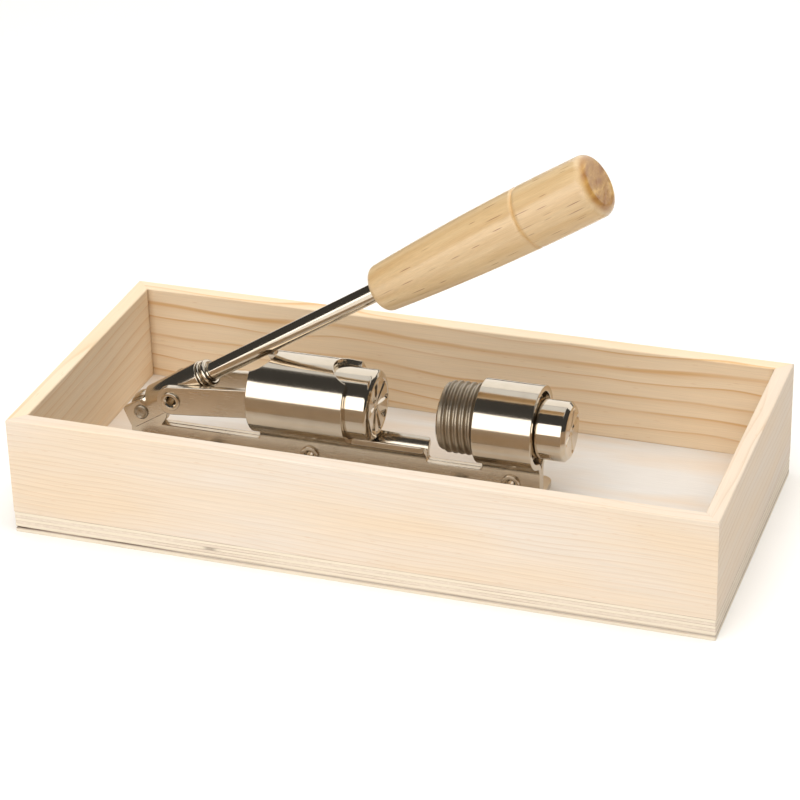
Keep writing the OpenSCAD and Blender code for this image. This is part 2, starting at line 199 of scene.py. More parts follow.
def fillet(corners, steps=4, closed=True):
    """Rounds the corners of an outline given as (a, b, radius); a radius of 0 leaves a corner sharp."""
    made = []
    count = len(corners)
    for i, (a, b, radius) in enumerate(corners):
        here = Vector((a, b))
        if radius <= 0 or (not closed and i in (0, count - 1)):
            made.append((a, b))
            continue
        before = Vector(corners[i - 1][:2]) - here
        after = Vector(corners[(i + 1) % count][:2]) - here
        half = before.angle(after) / 2
        reach = min(radius / math.tan(half), before.length * 0.49, after.length * 0.49)
        turn_r = reach * math.tan(half)
        middle = here + (before.normalized() + after.normalized()).normalized() * (turn_r / math.sin(half))
        first = here + before.normalized() * reach - middle
        last = here + after.normalized() * reach - middle
        sweep = first.angle_signed(last)
        for k in range(steps + 1):
            made.append(tuple(middle + Matrix.Rotation(-sweep * k / steps, 2) @ first))
    return made


def arc(a, b, radius, start, end, steps):
    """Points on an arc about (a, b), from start to end in degrees."""
    turns = [math.radians(start + (end - start) * k / steps) for k in range(steps + 1)]
    return [(a + radius * math.cos(t), b + radius * math.sin(t)) for t in turns]


def revolve(bm, profile, steps, place, closed=False, shape=None):
    """Turns (along, radius) points round +X. Ends on the axis close to one vertex."""
    rings = []
    for along, radius in profile:
        if radius < 1e-7:
            rings.append([bm.verts.new(place @ Vector((along, 0, 0)))])
            continue
        ring = []
        for k in range(steps):
            turn = 2 * math.pi * k / steps
            x, r = shape(along, radius, turn) if shape else (along, radius)
            ring.append(bm.verts.new(place @ Vector((x, r * math.cos(turn), r * math.sin(turn)))))
        rings.append(ring)
    pairs = list(zip(rings, rings[1:])) + ([(rings[-1], rings[0])] if closed else [])
    for one, two in pairs:
        for k in range(steps):
            n = (k + 1) % steps
            if len(one) == 1 and len(two) > 1:
                bm.faces.new((one[0], two[k], two[n]))
            elif len(two) == 1 and len(one) > 1:
                bm.faces.new((one[k], two[0], one[n]))
            elif len(one) > 1:
                bm.faces.new((one[k], two[k], two[n], one[n]))
    return rings


def tidy(points):
    """Drops points of an outline that lie on the one before."""
    kept = []
    for point in points:
        if not kept or math.dist(point, kept[-1]) > 0.02 * MM:
            kept.append(point)
    return kept[:-1] if math.dist(kept[0], kept[-1]) < 0.02 * MM else kept


def inset(loop, distance):
    """Moves an outline to its left, which is into the sheet."""
    made = []
    for i, point in enumerate(loop):
        here = Vector(point)
        before = (here - Vector(loop[i - 1])).normalized()
        after = (Vector(loop[(i + 1) % len(loop)]) - here).normalized()
        both = before + after
        reach = distance / max(both.length_squared / 2, 0.5)
        made.append((here.x - both.y * reach, here.y + both.x * reach))
    return made


def blank(bm, loops, thickness, edge):
    """Cuts a flat sheet with tumbled edges from an outline and its holes."""
    bm.verts.layers.float.new("flat")
    turns = [math.pi / 2 * k / 3 for k in range(4)]
    rows = [(edge * (1 - math.sin(t)), thickness / 2 - edge * (1 - math.cos(t))) for t in turns]
    rows += [(back, -level) for back, level in reversed(rows)]
    faces = [[], []]
    for number, loop in enumerate(loops):
        loop = tidy(loop)
        area = sum(p[0] * q[1] - q[0] * p[1] for p, q in zip(loop, loop[1:] + loop[:1]))
        if (area > 0) != (number == 0):
            loop.reverse()
        rings = [[bm.verts.new((a, b, level)) for a, b in inset(loop, back)] for back, level in rows]
        for one, two in zip(rings, rings[1:]):
            for k in range(len(loop)):
                n = (k + 1) % len(loop)
                bm.faces.new((one[k], one[n], two[n], two[k]))
        faces[0].append(rings[0])
        faces[1].append(rings[-1])
    for side in faces:
        verts = [vert for ring in side for vert in ring]
        for corners in tessellate_polygon([[vert.co for vert in ring] for ring in side]):
            bm.faces.new([verts[i] for i in corners])


def score(bm, lines, normal):
    """Cuts a flat sheet along straight lines, so that it can bend there."""
    for at in lines:
        geometry = bm.verts[:] + bm.edges[:] + bm.faces[:]
        bmesh.ops.bisect_plane(bm, geom=geometry, dist=1e-7, plane_co=normal * at, plane_no=normal)


def form_sheet(bm, fold, flat_share):
    """Folds a scored sheet, whose points are (a, b, height off its middle), and marks where it stays flat."""
    step = 0.005 * MM
    flat = bm.verts.layers.float["flat"]
    for vert in bm.verts:
        a, b, off = vert.co
        along = fold(a + step, b) - fold(a - step, b)
        across = fold(a, b + step) - fold(a, b - step)
        vert[flat] = flat_share(a, b)
        vert.co = fold(a, b) + along.cross(across).normalized() * off


def make_object(name, bm, outward=True):
    """Makes an object from mesh code, with its faces pointing outwards."""
    if outward:
        bmesh.ops.recalc_face_normals(bm, faces=bm.faces)
    mesh = bpy.data.meshes.new(name)
    bm.to_mesh(mesh)
    bm.free()
    obj = bpy.data.objects.new(name, mesh)
    bpy.context.scene.collection.objects.link(obj)
    return obj


def settle(obj):
    """Turns an object's evaluated shape into its plain mesh and removes its modifiers."""
    bpy.context.view_layer.update()
    graph = bpy.context.evaluated_depsgraph_get()
    mesh = bpy.data.meshes.new_from_object(obj.evaluated_get(graph), depsgraph=graph)
    obj.modifiers.clear()
    old, obj.data = obj.data, mesh
    bpy.data.meshes.remove(old)
    mesh.name = obj.name


def hand_over(obj, body, slot, material, *nodes, crease=32):
    """Finishes a piece: its shading, its material, the body that it rides and the CAD nodes it stands for."""
    if obj.modifiers:
        settle(obj)
    mesh = obj.data
    mesh.materials.clear()
    mesh.materials.append(material)
    mesh.shade_smooth()
    mesh.set_sharp_from_angle(angle=math.radians(crease))
    # Flats keep one normal right up to their rounded edges
    weighted = obj.modifiers.new("flats", "WEIGHTED_NORMAL")
    weighted.keep_sharp = True
    weighted.weight = 80
    settle(obj)
    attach(obj, body)
    if nodes:
        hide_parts(*nodes)
    return obj


# ---- Geometry Nodes ----

def new_tree(name, inputs):
    """A geometry tree with named inputs given as (name, socket type, default)."""
    tree = bpy.data.node_groups.new(name, "GeometryNodeTree")
    tree.interface.new_socket("Geometry", in_out="INPUT", socket_type="NodeSocketGeometry")
    tree.interface.new_socket("Geometry", in_out="OUTPUT", socket_type="NodeSocketGeometry")
    for label, kind, default in inputs:
        socket = tree.interface.new_socket(label, in_out="INPUT", socket_type=kind)
        if default is not None:
            socket.default_value = default
    return tree


def feed(tree, node, inputs):
    """Sets a node's inputs, by name or number, to values or to other nodes' outputs."""
    for key, value in inputs.items():
        socket = node.inputs[key]
        if isinstance(value, bpy.types.NodeSocket):
            tree.links.new(value, socket)
        elif socket.type == "RGBA" and len(value) == 3:
            socket.default_value = (*value, 1)
        else:
            socket.default_value = value


def add(tree, kind, inputs=None, out=0, stops=None, **settings):
    """Adds a node with its settings and inputs, and returns one output, or the node where out is None.
    Stops give a ramp its (position, grey or colour) stops."""
    made = tree.nodes.new(kind)
    for key, value in settings.items():
        setattr(made, key, value)
    feed(tree, made, inputs or {})
    for k, (at, tone) in enumerate(stops or []):
        elements = made.color_ramp.elements
        element = elements[k] if k < 2 else elements.new(1.0)
        element.position = at
        element.color = (tone, tone, tone, 1) if isinstance(tone, (int, float)) else (*tone, 1)
    return made if out is None else made.outputs[out]


def run_tree(obj, tree, values):
    """Runs a geometry tree on an object with its named inputs set, and keeps the result as a plain mesh."""
    modifier = obj.modifiers.new("nodes", "NODES")
    modifier.node_group = tree
    keys = {item.name: item.identifier for item in tree.interface.items_tree
            if item.item_type == "SOCKET" and item.in_out == "INPUT"}
    for label, value in values.items():
        modifier[keys[label]] = value
    settle(obj)
    return obj


def set_out_tree():
    """Sets copies of one made item out on points, each turned a little about its own axis."""
    if "set_out" in bpy.data.node_groups:
        return bpy.data.node_groups["set_out"]
    tree = new_tree("set_out", [("Item", "NodeSocketObject", None), ("Turn", "NodeSocketFloat", 0.0),
                                ("Seed", "NodeSocketInt", 3), ("Finish", "NodeSocketMaterial", None)])
    given = add(tree, "NodeGroupInput", out=None).outputs
    item = add(tree, "GeometryNodeObjectInfo", {"Object": given["Item"]}, "Geometry",
               transform_space="ORIGINAL")
    most = add(tree, "ShaderNodeCombineXYZ", {"Z": given["Turn"]})
    turn = add(tree, "FunctionNodeRandomValue", {"Max": most, "Seed": given["Seed"]},
               data_type="FLOAT_VECTOR")
    placed = add(tree, "GeometryNodeInstanceOnPoints",
                 {"Points": given["Geometry"], "Instance": item, "Rotation": turn})
    real = add(tree, "GeometryNodeRealizeInstances", {"Geometry": placed})
    done = add(tree, "GeometryNodeSetMaterial", {"Geometry": real, "Material": given["Finish"]})
    add(tree, "NodeGroupOutput", {"Geometry": done}, None)
    return tree


def set_out(name, item, places, material, turn=0.0):
    """Copies an item to each place through the set_out tree, and drops the item."""
    bm = bmesh.new()
    for place in places:
        bm.verts.new(place)
    obj = make_object(name, bm, outward=False)
    run_tree(obj, set_out_tree(), {"Item": item, "Turn": turn, "Seed": 3, "Finish": material})
    mesh = item.data
    bpy.data.objects.remove(item)
    bpy.data.meshes.remove(mesh)
    return obj


def thread_tree():
    """A screw thread: a sheet wound round X whose radius follows a helix and fades at both ends."""
    if "screw_thread" in bpy.data.node_groups:
        return bpy.data.node_groups["screw_thread"]
    sizes = {"Start": 0.0, "Length": 0.04, "Root": 0.016, "Depth": 0.001, "Pitch": 0.003, "Height": 0.05}
    tree = new_tree("screw_thread", [(key, "NodeSocketFloat", value) for key, value in sizes.items()]
                    + [("Finish", "NodeSocketMaterial", None)])
    given = add(tree, "NodeGroupInput", out=None).outputs
    grid = add(tree, "GeometryNodeMeshGrid", {
        "Size X": 1.0, "Size Y": 1.0, "Vertices X": 161, "Vertices Y": 201})
    place = add(tree, "ShaderNodeSeparateXYZ", {0: add(tree, "GeometryNodeInputPosition")}, None).outputs
    made = {"across": place[0], "up": place[1], **{key: given[key] for key in sizes}}
    # Each sum has the name of its result, and later sums use it by that name
    sums = (
        ("share", "ADD", "across", 0.5),
        ("turn", "MULTIPLY", "share", 2 * math.pi),
        ("up", "ADD", "up", 0.5),
        ("along", "MULTIPLY", "up", "Length"),
        # Distance from the root of the thread, as a share of the pitch; the 9 keeps it above nothing
        ("phase", "DIVIDE", "along", "Pitch"),
        ("phase", "SUBTRACT", "phase", "share"),
        ("phase", "ADD", "phase", 9.0),
        ("phase", "FRACT", "phase"),
        ("ridge", "SUBTRACT", "phase", 0.5),
        ("ridge", "ABSOLUTE", "ridge"),
        ("ridge", "SUBTRACT", 0.5, "ridge"),
        # Flanks ease from the root at 0.08 of the pitch to the crest at 0.4
        ("flank", "SUBTRACT", "ridge", 0.08),
        ("flank", "DIVIDE", "flank", 0.32),
        ("flank", "MAXIMUM", "flank", 0.0),
        ("flank", "MINIMUM", "flank", 1.0),
        ("ease", "MULTIPLY_ADD", "flank", -2.0, 3.0),
        ("flank", "MULTIPLY", "flank", "flank"),
        ("flank", "MULTIPLY", "flank", "ease"),
        # The first and the last turn run out into the core
        ("left", "SUBTRACT", "Length", "along"),
        ("fade", "MINIMUM", "along", "left"),
        ("fade", "DIVIDE", "fade", "Pitch"),
        ("fade", "MINIMUM", "fade", 1.0),
        ("rise", "MULTIPLY", "flank", "Depth"),
        ("radius", "MULTIPLY_ADD", "rise", "fade", "Root"),
        ("x", "ADD", "along", "Start"),
        ("y", "COSINE", "turn"),
        ("y", "MULTIPLY", "y", "radius"),
        ("z", "SINE", "turn"),
        ("z", "MULTIPLY_ADD", "z", "radius", "Height"),
    )
    for name, operation, *terms in sums:
        inputs = {i: made.get(term, term) for i, term in enumerate(terms)}
        made[name] = add(tree, "ShaderNodeMath", inputs, operation=operation)
    point = add(tree, "ShaderNodeCombineXYZ", {0: made["x"], 1: made["y"], 2: made["z"]})
    wound = add(tree, "GeometryNodeSetPosition", {"Geometry": grid, "Position": point})
    joined = add(tree, "GeometryNodeMergeByDistance", {"Geometry": wound, "Distance": 1e-6})
    real = add(tree, "GeometryNodeRealizeInstances", {"Geometry": joined})
    done = add(tree, "GeometryNodeSetMaterial", {"Geometry": real, "Material": given["Finish"]})
    add(tree, "NodeGroupOutput", {"Geometry": done}, None)
    return tree


# ---- Materials ----

def start_material(name):
    """An empty material: the material, its tree, its shader, and the piece's own coordinates."""
    material = bpy.data.materials.new(name)
    material.use_nodes = True
    tree = material.node_tree
    tree.nodes.clear()
    shader = add(tree, "ShaderNodeBsdfPrincipled", out=None)
    add(tree, "ShaderNodeOutputMaterial", {"Surface": shader.outputs[0]}, None)
    place = add(tree, "ShaderNodeTexCoord", out="Object")
    return material, tree, shader, place


def per_mm(*sizes):
    """The scale that gives a pattern features of these sizes along X, Y and Z, in millimetres."""
    return [1 / (size * MM) for size in sizes]


def pine(name, turn=0.0, shift=(0.0, 0.0, 0.0), ring=4.0, strength=0.5, bend=1.0, painted_bounce_light=0.0, grey=0.0):
    """Scots pine, planed and sanded, left bare. The eye sees pale early wood, thin orange late-wood lines
    along the board, fine fibre streaks and a few short resin ducts. Ring spacing is in millimetres."""
    settings = bpy.context.scene.nutcracker_tray
    material, tree, shader, place = start_material(name)
    spot = add(tree, "ShaderNodeMapping", {"Vector": place, "Rotation": (0, 0, turn), "Location": shift})
    noises = []
    for scale, detail, rough in (
            (per_mm(125, 33.33, 33.33), 2.0, 0.45),    # slow swings of the rings
            (per_mm(111.1, 16.67, 11.11), 3.0, 0.5),   # where a year's line comes and goes
            (per_mm(28.57, 0.4545, 0.4545), 3.0, 0.65),  # fibres
            (per_mm(100, 45.45, 22.22), 2.0, 0.5)):    # broad drifts of tone
        spread = add(tree, "ShaderNodeMapping", {"Vector": spot, "Scale": scale})
        noises.append(add(tree, "ShaderNodeTexNoise", {
            "Vector": spread, "Scale": 1.0, "Detail": detail, "Roughness": rough}))
    swing, fades, fibre, cloud = noises
    # Rings lie nearly level, lean through the board's thickness, and swing up and down along it
    level = add(tree, "ShaderNodeVectorMath", {0: spot, 1: (0.012, 0.55, 1.0)}, "Value",
                operation="DOT_PRODUCT")
    level = add(tree, "ShaderNodeMath", {0: swing, 1: 0.012 * bend, 2: level}, operation="MULTIPLY_ADD")
    rings = add(tree, "ShaderNodeMath", {0: level, 1: 1 / (ring * MM)}, operation="MULTIPLY")
    uneven = add(tree, "ShaderNodeTexNoise", {"W": rings, "Scale": 0.55, "Detail": 1.0},
                 noise_dimensions="1D")
    rings = add(tree, "ShaderNodeMath", {0: rings, 1: uneven}, operation="ADD")
    year = add(tree, "ShaderNodeMath", {0: rings}, operation="FRACT")
    late = add(tree, "ShaderNodeValToRGB", {0: year}, stops=[
        (0.0, 0.0), (0.5, 0.04), (0.8, 0.4), (0.9, 1.0), (0.95, 0.8), (1.0, 0.0)])
    fade = add(tree, "ShaderNodeValToRGB", {0: fades}, stops=[(0.3, 0.25), (0.68, 1.0)])
    late = add(tree, "ShaderNodeMath", {0: late, 1: fade}, operation="MULTIPLY")
    line = add(tree, "ShaderNodeMath", {0: late, 1: strength}, operation="MULTIPLY", use_clamp=True)
    line_tone = add(tree, "ShaderNodeMix", {0: grey, 6: settings.late_wood, 7: linear("C2A688")}, 2,
                    data_type="RGBA")
    drift = add(tree, "ShaderNodeValToRGB", {0: cloud}, stops=[(0.35, 0.0), (0.7, 0.4)])
    streak = add(tree, "ShaderNodeValToRGB", {0: fibre}, stops=[(0.3, 0.9), (0.7, 1.0)])
    # Resin ducts, drawn 0.5 mm wide and 4 mm long so that they show
    duct_at = add(tree, "ShaderNodeMapping", {"Vector": spot, "Scale": per_mm(16.67, 2.381, 2.381)})
    duct = add(tree, "ShaderNodeTexVoronoi", {"Vector": duct_at, "Scale": 1.0}, "Distance")
    duct = add(tree, "ShaderNodeValToRGB", {0: duct}, stops=[(0.0, 0.35), (0.13, 0.0)])
    tone = settings.pine
    # The first layer is painted light: a warmer, paler tone that stands in for the light bounced round inside
    # the tray.
    for share, layer, blend in (
            (painted_bounce_light, linear("FBE2BC"), "MIX"), (drift, linear("EBCB9E"), "MIX"), (line, line_tone, "MIX"),
            (1.0, streak, "MULTIPLY"), (duct, linear("C79560"), "MIX")):
        tone = add(tree, "ShaderNodeMix", {0: share, 6: tone, 7: layer}, 2, data_type="RGBA",
                   blend_type=blend)
    rough = add(tree, "ShaderNodeValToRGB", {0: fibre}, stops=[(0.3, 0.5), (0.75, 0.66)])
    relief = add(tree, "ShaderNodeMath", {0: late, 1: fibre, 2: 0.5}, operation="MULTIPLY_ADD")
    bump = add(tree, "ShaderNodeBump", {"Height": relief, "Strength": 0.25, "Distance": 0.06 * MM})
    feed(tree, shader, {"Base Color": tone, "Roughness": rough, "IOR": 1.5, "Specular IOR Level": 0.35,
                        "Normal": bump})
    return material


def birch_ply():
    """Birch plywood, sanded. The eye sees almost white faces with faint wavy rotary-cut grain. On the edge
    long-grain plies are paler than end-grain plies, glue lines are thin and brown, and one ply gapes."""
    settings = bpy.context.scene.nutcracker_tray
    material, tree, shader, place = start_material("birch_ply_sanded")
    noises = []
    for scale, detail, distortion in (
            (per_mm(111.1, 25, 1000), 3.0, 0.6),          # waves of the faces
            (per_mm(14.29, 0.6667, 0.6667), 3.0, 0.0),    # fibres of the faces
            (per_mm(2.381, 2.381, 0.625), 3.0, 0.0),      # end grain of the cross plies
            (per_mm(45.45, 45.45, 3.333), 2.0, 0.0)):     # breaks in the glue lines
        spread = add(tree, "ShaderNodeMapping", {"Vector": place, "Scale": scale})
        noises.append(add(tree, "ShaderNodeTexNoise", {
            "Vector": spread, "Scale": 1.0, "Detail": detail, "Distortion": distortion}))
    wave, fibre, end_grain, broken = noises
    height = add(tree, "ShaderNodeSeparateXYZ", {0: place}, 2)
    layers = add(tree, "ShaderNodeMath", {0: height, 1: settings.plies / FLOOR_Z}, operation="MULTIPLY")
    in_layer = add(tree, "ShaderNodeMath", {0: layers}, operation="FRACT")
    which = add(tree, "ShaderNodeMath", {0: layers, 1: 2.0}, operation="FLOORED_MODULO")
    crosswise = add(tree, "ShaderNodeMath", {0: which, 1: 0.99}, operation="GREATER_THAN")
    waves = add(tree, "ShaderNodeValToRGB", {0: wave}, stops=[(0.4, 0.0), (0.62, 0.5)])
    streak = add(tree, "ShaderNodeValToRGB", {0: fibre}, stops=[(0.3, 0.93), (0.7, 1.0)])
    end_tone = add(tree, "ShaderNodeValToRGB", {0: end_grain}, stops=[
        (0.3, linear("D9C9B6")), (0.7, linear("E6D8C6"))])
    # Glue lines are drawn 0.3 mm wide so that they show
    line = add(tree, "ShaderNodeValToRGB", {0: in_layer}, stops=[
        (0.0, 1.0), (0.1, 0.0), (0.9, 0.0), (1.0, 1.0)])
    breaks = add(tree, "ShaderNodeValToRGB", {0: broken}, stops=[(0.42, 0.1), (0.66, 0.85)])
    glue = add(tree, "ShaderNodeMath", {0: line, 1: breaks}, operation="MULTIPLY")
    # The gap attribute is partly painted shade: one ply's open void is painted dark brown, and a knot in
    # another ply takes its real dark tone.
    gap = add(tree, "ShaderNodeAttribute", out="Fac", attribute_name="gap")
    on_edge = add(tree, "ShaderNodeAttribute", out="Fac", attribute_name="edge")
    edge = linear("E8DCC8")
    for share, layer in ((crosswise, end_tone), (glue, settings.glue), (gap, linear("4A2A18"))):
        edge = add(tree, "ShaderNodeMix", {0: share, 6: edge, 7: layer}, 2, data_type="RGBA")
    tone = settings.ply
    for share, layer, blend in (
            (waves, linear("DCC3A4"), "MIX"), (1.0, streak, "MULTIPLY"), (on_edge, edge, "MIX")):
        tone = add(tree, "ShaderNodeMix", {0: share, 6: tone, 7: layer}, 2, data_type="RGBA",
                   blend_type=blend)
    rough = add(tree, "ShaderNodeValToRGB", {0: fibre}, stops=[(0.3, 0.5), (0.7, 0.68)])
    bump = add(tree, "ShaderNodeBump", {"Height": fibre, "Strength": 0.2, "Distance": 0.05 * MM})
    feed(tree, shader, {"Base Color": tone, "Roughness": rough, "IOR": 1.5, "Specular IOR Level": 0.35,
                        "Normal": bump})
    return material


def lacquered_beech():
    """Steamed beech, turned and dipped in clear lacquer. The eye sees even honey wood, short dark ray flecks
    along it, browner end grain, and a glossy coat that rides over fine tool marks."""
    settings = bpy.context.scene.nutcracker_handle
    material, tree, shader, place = start_material("beech_lacquered")
    centre = LEVER_PLACE @ Vector((0, 0, ROD_V))
    lift = centre.x * math.sin(LEVER_RISE) - centre.z * math.cos(LEVER_RISE)
    spot = add(tree, "ShaderNodeMapping", {"Vector": place, "Rotation": (0, LEVER_RISE, 0),
                                           "Location": (0, 0, lift)})
    noises = []
    for scale, detail, rough, distortion in (
            (per_mm(166.7, 5.882, 11.11), 4.0, 0.6, 0.3),    # growth rings, cut lengthwise
            (per_mm(7.143, 0.3125, 0.3125), 2.0, 0.6, 0.0),  # pores
            (per_mm(16.67, 11.11, 3.846), 4.0, 0.5, 0.0),    # mottle of the end grain
            (per_mm(3.03, 2.381, 2.381), 3.0, 0.55, 0.0)):   # tool marks and lacquer waves
        spread = add(tree, "ShaderNodeMapping", {"Vector": spot, "Scale": scale})
        noises.append(add(tree, "ShaderNodeTexNoise", {
            "Vector": spread, "Scale": 1.0, "Detail": detail, "Roughness": rough, "Distortion": distortion}))
    rings, pores, mottle, ripple = noises
    brown = add(tree, "ShaderNodeValToRGB", {0: rings}, stops=[(0.35, 0.0), (0.7, 0.75)])
    pale = add(tree, "ShaderNodeValToRGB", {0: rings}, stops=[(0.25, 0.7), (0.42, 0.0)])
    pits = add(tree, "ShaderNodeValToRGB", {0: pores}, stops=[(0.3, 0.86), (0.65, 1.0)])
    end_tone = add(tree, "ShaderNodeValToRGB", {0: mottle}, stops=[
        (0.34, linear("A06C30")), (0.55, linear("B98A47")), (0.7, linear("D8AC62"))])
    # Ray flecks 3 to 9 mm long and 0.4 mm wide, one to each cell of 13 by 3.2 mm that is picked
    skin = add(tree, "ShaderNodeAttribute", out="Vector", attribute_name="skin")
    fleck_at = add(tree, "ShaderNodeMapping", {"Vector": skin, "Scale": per_mm(12.987, 3.2051, 1000)})
    cells = add(tree, "ShaderNodeTexVoronoi", {"Vector": fleck_at, "Scale": 1.0}, None,
                voronoi_dimensions="2D")
    chosen = add(tree, "ShaderNodeSeparateColor", {0: cells.outputs["Color"]}, None).outputs
    picked = add(tree, "ShaderNodeMath", {0: chosen[0], 1: 0.66}, operation="GREATER_THAN")
    away = add(tree, "ShaderNodeVectorMath", {0: fleck_at, 1: cells.outputs["Position"]},
               operation="SUBTRACT")
    size = add(tree, "ShaderNodeMapRange", {"Value": chosen[1], "To Min": 2.0, "To Max": 5.5})
    size = add(tree, "ShaderNodeCombineXYZ", {0: size, 1: 14.0, 2: 0.0})
    away = add(tree, "ShaderNodeVectorMath", {0: away, 1: size}, operation="MULTIPLY")
    away = add(tree, "ShaderNodeVectorMath", {0: away}, "Value", operation="LENGTH")
    mark = add(tree, "ShaderNodeValToRGB", {0: away}, stops=[(0.0, 1.0), (0.55, 0.85), (1.0, 0.0)])
    faint = add(tree, "ShaderNodeMapRange", {"Value": chosen[2], "To Min": 0.35, "To Max": 1.0})
    fleck = add(tree, "ShaderNodeMath", {0: mark, 1: picked}, operation="MULTIPLY")
    fleck = add(tree, "ShaderNodeMath", {0: fleck, 1: faint}, operation="MULTIPLY")
    ends = add(tree, "ShaderNodeAttribute", out="Fac", attribute_name="end_grain")
    groove = add(tree, "ShaderNodeAttribute", out="Fac", attribute_name="groove")
    tone = settings.beech
    # The last layer is painted shade: a darker, browner tone in the ring groove.
    for share, layer, blend in (
            (brown, linear("BF9762"), "MIX"), (pale, linear("E0CBA6"), "MIX"), (1.0, pits, "MULTIPLY"),
            (fleck, settings.fleck, "MIX"), (ends, end_tone, "MIX"), (groove, linear("C99F62"), "MIX")):
        tone = add(tree, "ShaderNodeMix", {0: share, 6: tone, 7: layer}, 2, data_type="RGBA",
                   blend_type=blend)
    rough = add(tree, "ShaderNodeValToRGB", {0: pores}, stops=[(0.3, 0.42), (0.7, 0.55)])
    coat_bump = add(tree, "ShaderNodeBump", {"Height": ripple, "Strength": 0.6, "Distance": 0.16 * MM})
    fine = add(tree, "ShaderNodeBump", {"Height": pores, "Strength": 0.2, "Distance": 0.04 * MM,
                                        "Normal": coat_bump})
    feed(tree, shader, {"Base Color": tone, "Roughness": rough, "IOR": 1.5, "Coat Weight": 0.75,
                        "Coat Roughness": 0.1, "Coat Normal": coat_bump, "Normal": fine})
    return material


def plated(name, tone, gloss, wave=0.3, wave_size=9.0, smudge=0.06, grain=0.0, stain=0.15):
    """Plated steel. The eye sees a mirror that bends a little where the sheet was rolled, faint handling
    smudges, hairline scratches along X and a brown cast in old plate. Gloss is the least roughness, and
    wave size is in millimetres."""
    material, tree, shader, place = start_material(name)
    noises = []
    for scale, detail, rough in (
            (per_mm(wave_size, wave_size, wave_size), 1.0, 0.5),  # waves of the metal
            (per_mm(11.11, 0.2381, 0.2381), 2.0, 0.7),            # hairline scratches
            (per_mm(10.53, 10.53, 10.53), 4.0, 0.6),              # smudges and stains
            (per_mm(0.8, 0.8, 0.8), 2.0, 0.7)):                   # grit, on cut and rough plate
        spread = add(tree, "ShaderNodeMapping", {"Vector": place, "Scale": scale})
        noises.append(add(tree, "ShaderNodeTexNoise", {
            "Vector": spread, "Scale": 1.0, "Detail": detail, "Roughness": rough}))
    waves, hair, cloud, grit = noises
    old = add(tree, "ShaderNodeValToRGB", {0: cloud}, stops=[(0.42, 0.0), (0.75, stain)])
    toned = add(tree, "ShaderNodeMix", {0: old, 6: tone, 7: linear("94826B")}, 2, data_type="RGBA")
    marks = add(tree, "ShaderNodeMath", {0: cloud, 1: hair}, operation="MULTIPLY")
    rough = add(tree, "ShaderNodeValToRGB", {0: marks}, stops=[(0.14, gloss), (0.45, gloss + smudge)])
    # The buffing wheel reaches the round parts and leaves the flats satin
    flat = add(tree, "ShaderNodeAttribute", out="Fac", attribute_name="flat")
    rough = add(tree, "ShaderNodeMath", {0: flat, 1: 0.13, 2: rough}, operation="MULTIPLY_ADD")
    bump = add(tree, "ShaderNodeBump", {"Height": waves, "Strength": wave, "Distance": 0.12 * MM})
    if grain > 0:
        bump = add(tree, "ShaderNodeBump", {"Height": grit, "Strength": grain, "Distance": 0.14 * MM,
                                            "Normal": bump})
    feed(tree, shader, {"Base Color": toned, "Metallic": 1.0, "Roughness": rough, "Normal": bump})
    return material


def finish(name):
    """The plated finish of that name, made the first time it is asked for."""
    metal = bpy.context.scene.nutcracker_metal
    finishes = {
        # Bright nickel on polished sheet: a clear mirror where it is rolled, a satin one where it is flat
        "nickel_polished_sheet": (metal.nickel, 0.12, dict(wave=0.2, smudge=0.035)),
        # Bright nickel on turned bar: the clearest mirror of all
        "nickel_polished_bar": (metal.nickel, 0.085, dict(wave=0.1, stain=0.08)),
        # Thin nickel on a cut thread: dull, gritty and browned
        "nickel_rough_thread": (metal.nickel_dull, 0.36, dict(smudge=0.14, grain=1.0, stain=0.6)),
        # Bright nickel on rolled rivet heads: small waves from the riveting tool
        "nickel_rolled_rivet": (metal.nickel, 0.12, dict(wave_size=4.0, stain=0.3)),
        # Zinc on pins, washers and screws: greyer, with a fine grit
        "zinc_plated_steel": (metal.zinc, 0.24, dict(wave=0.25, smudge=0.12, grain=0.25, stain=0.4)),
    }
    if name not in bpy.data.materials:
        tone, gloss, marks = finishes[name]
        plated(name, tone, gloss, **marks)
    return bpy.data.materials[name]


# ---- Operators: the tray ----

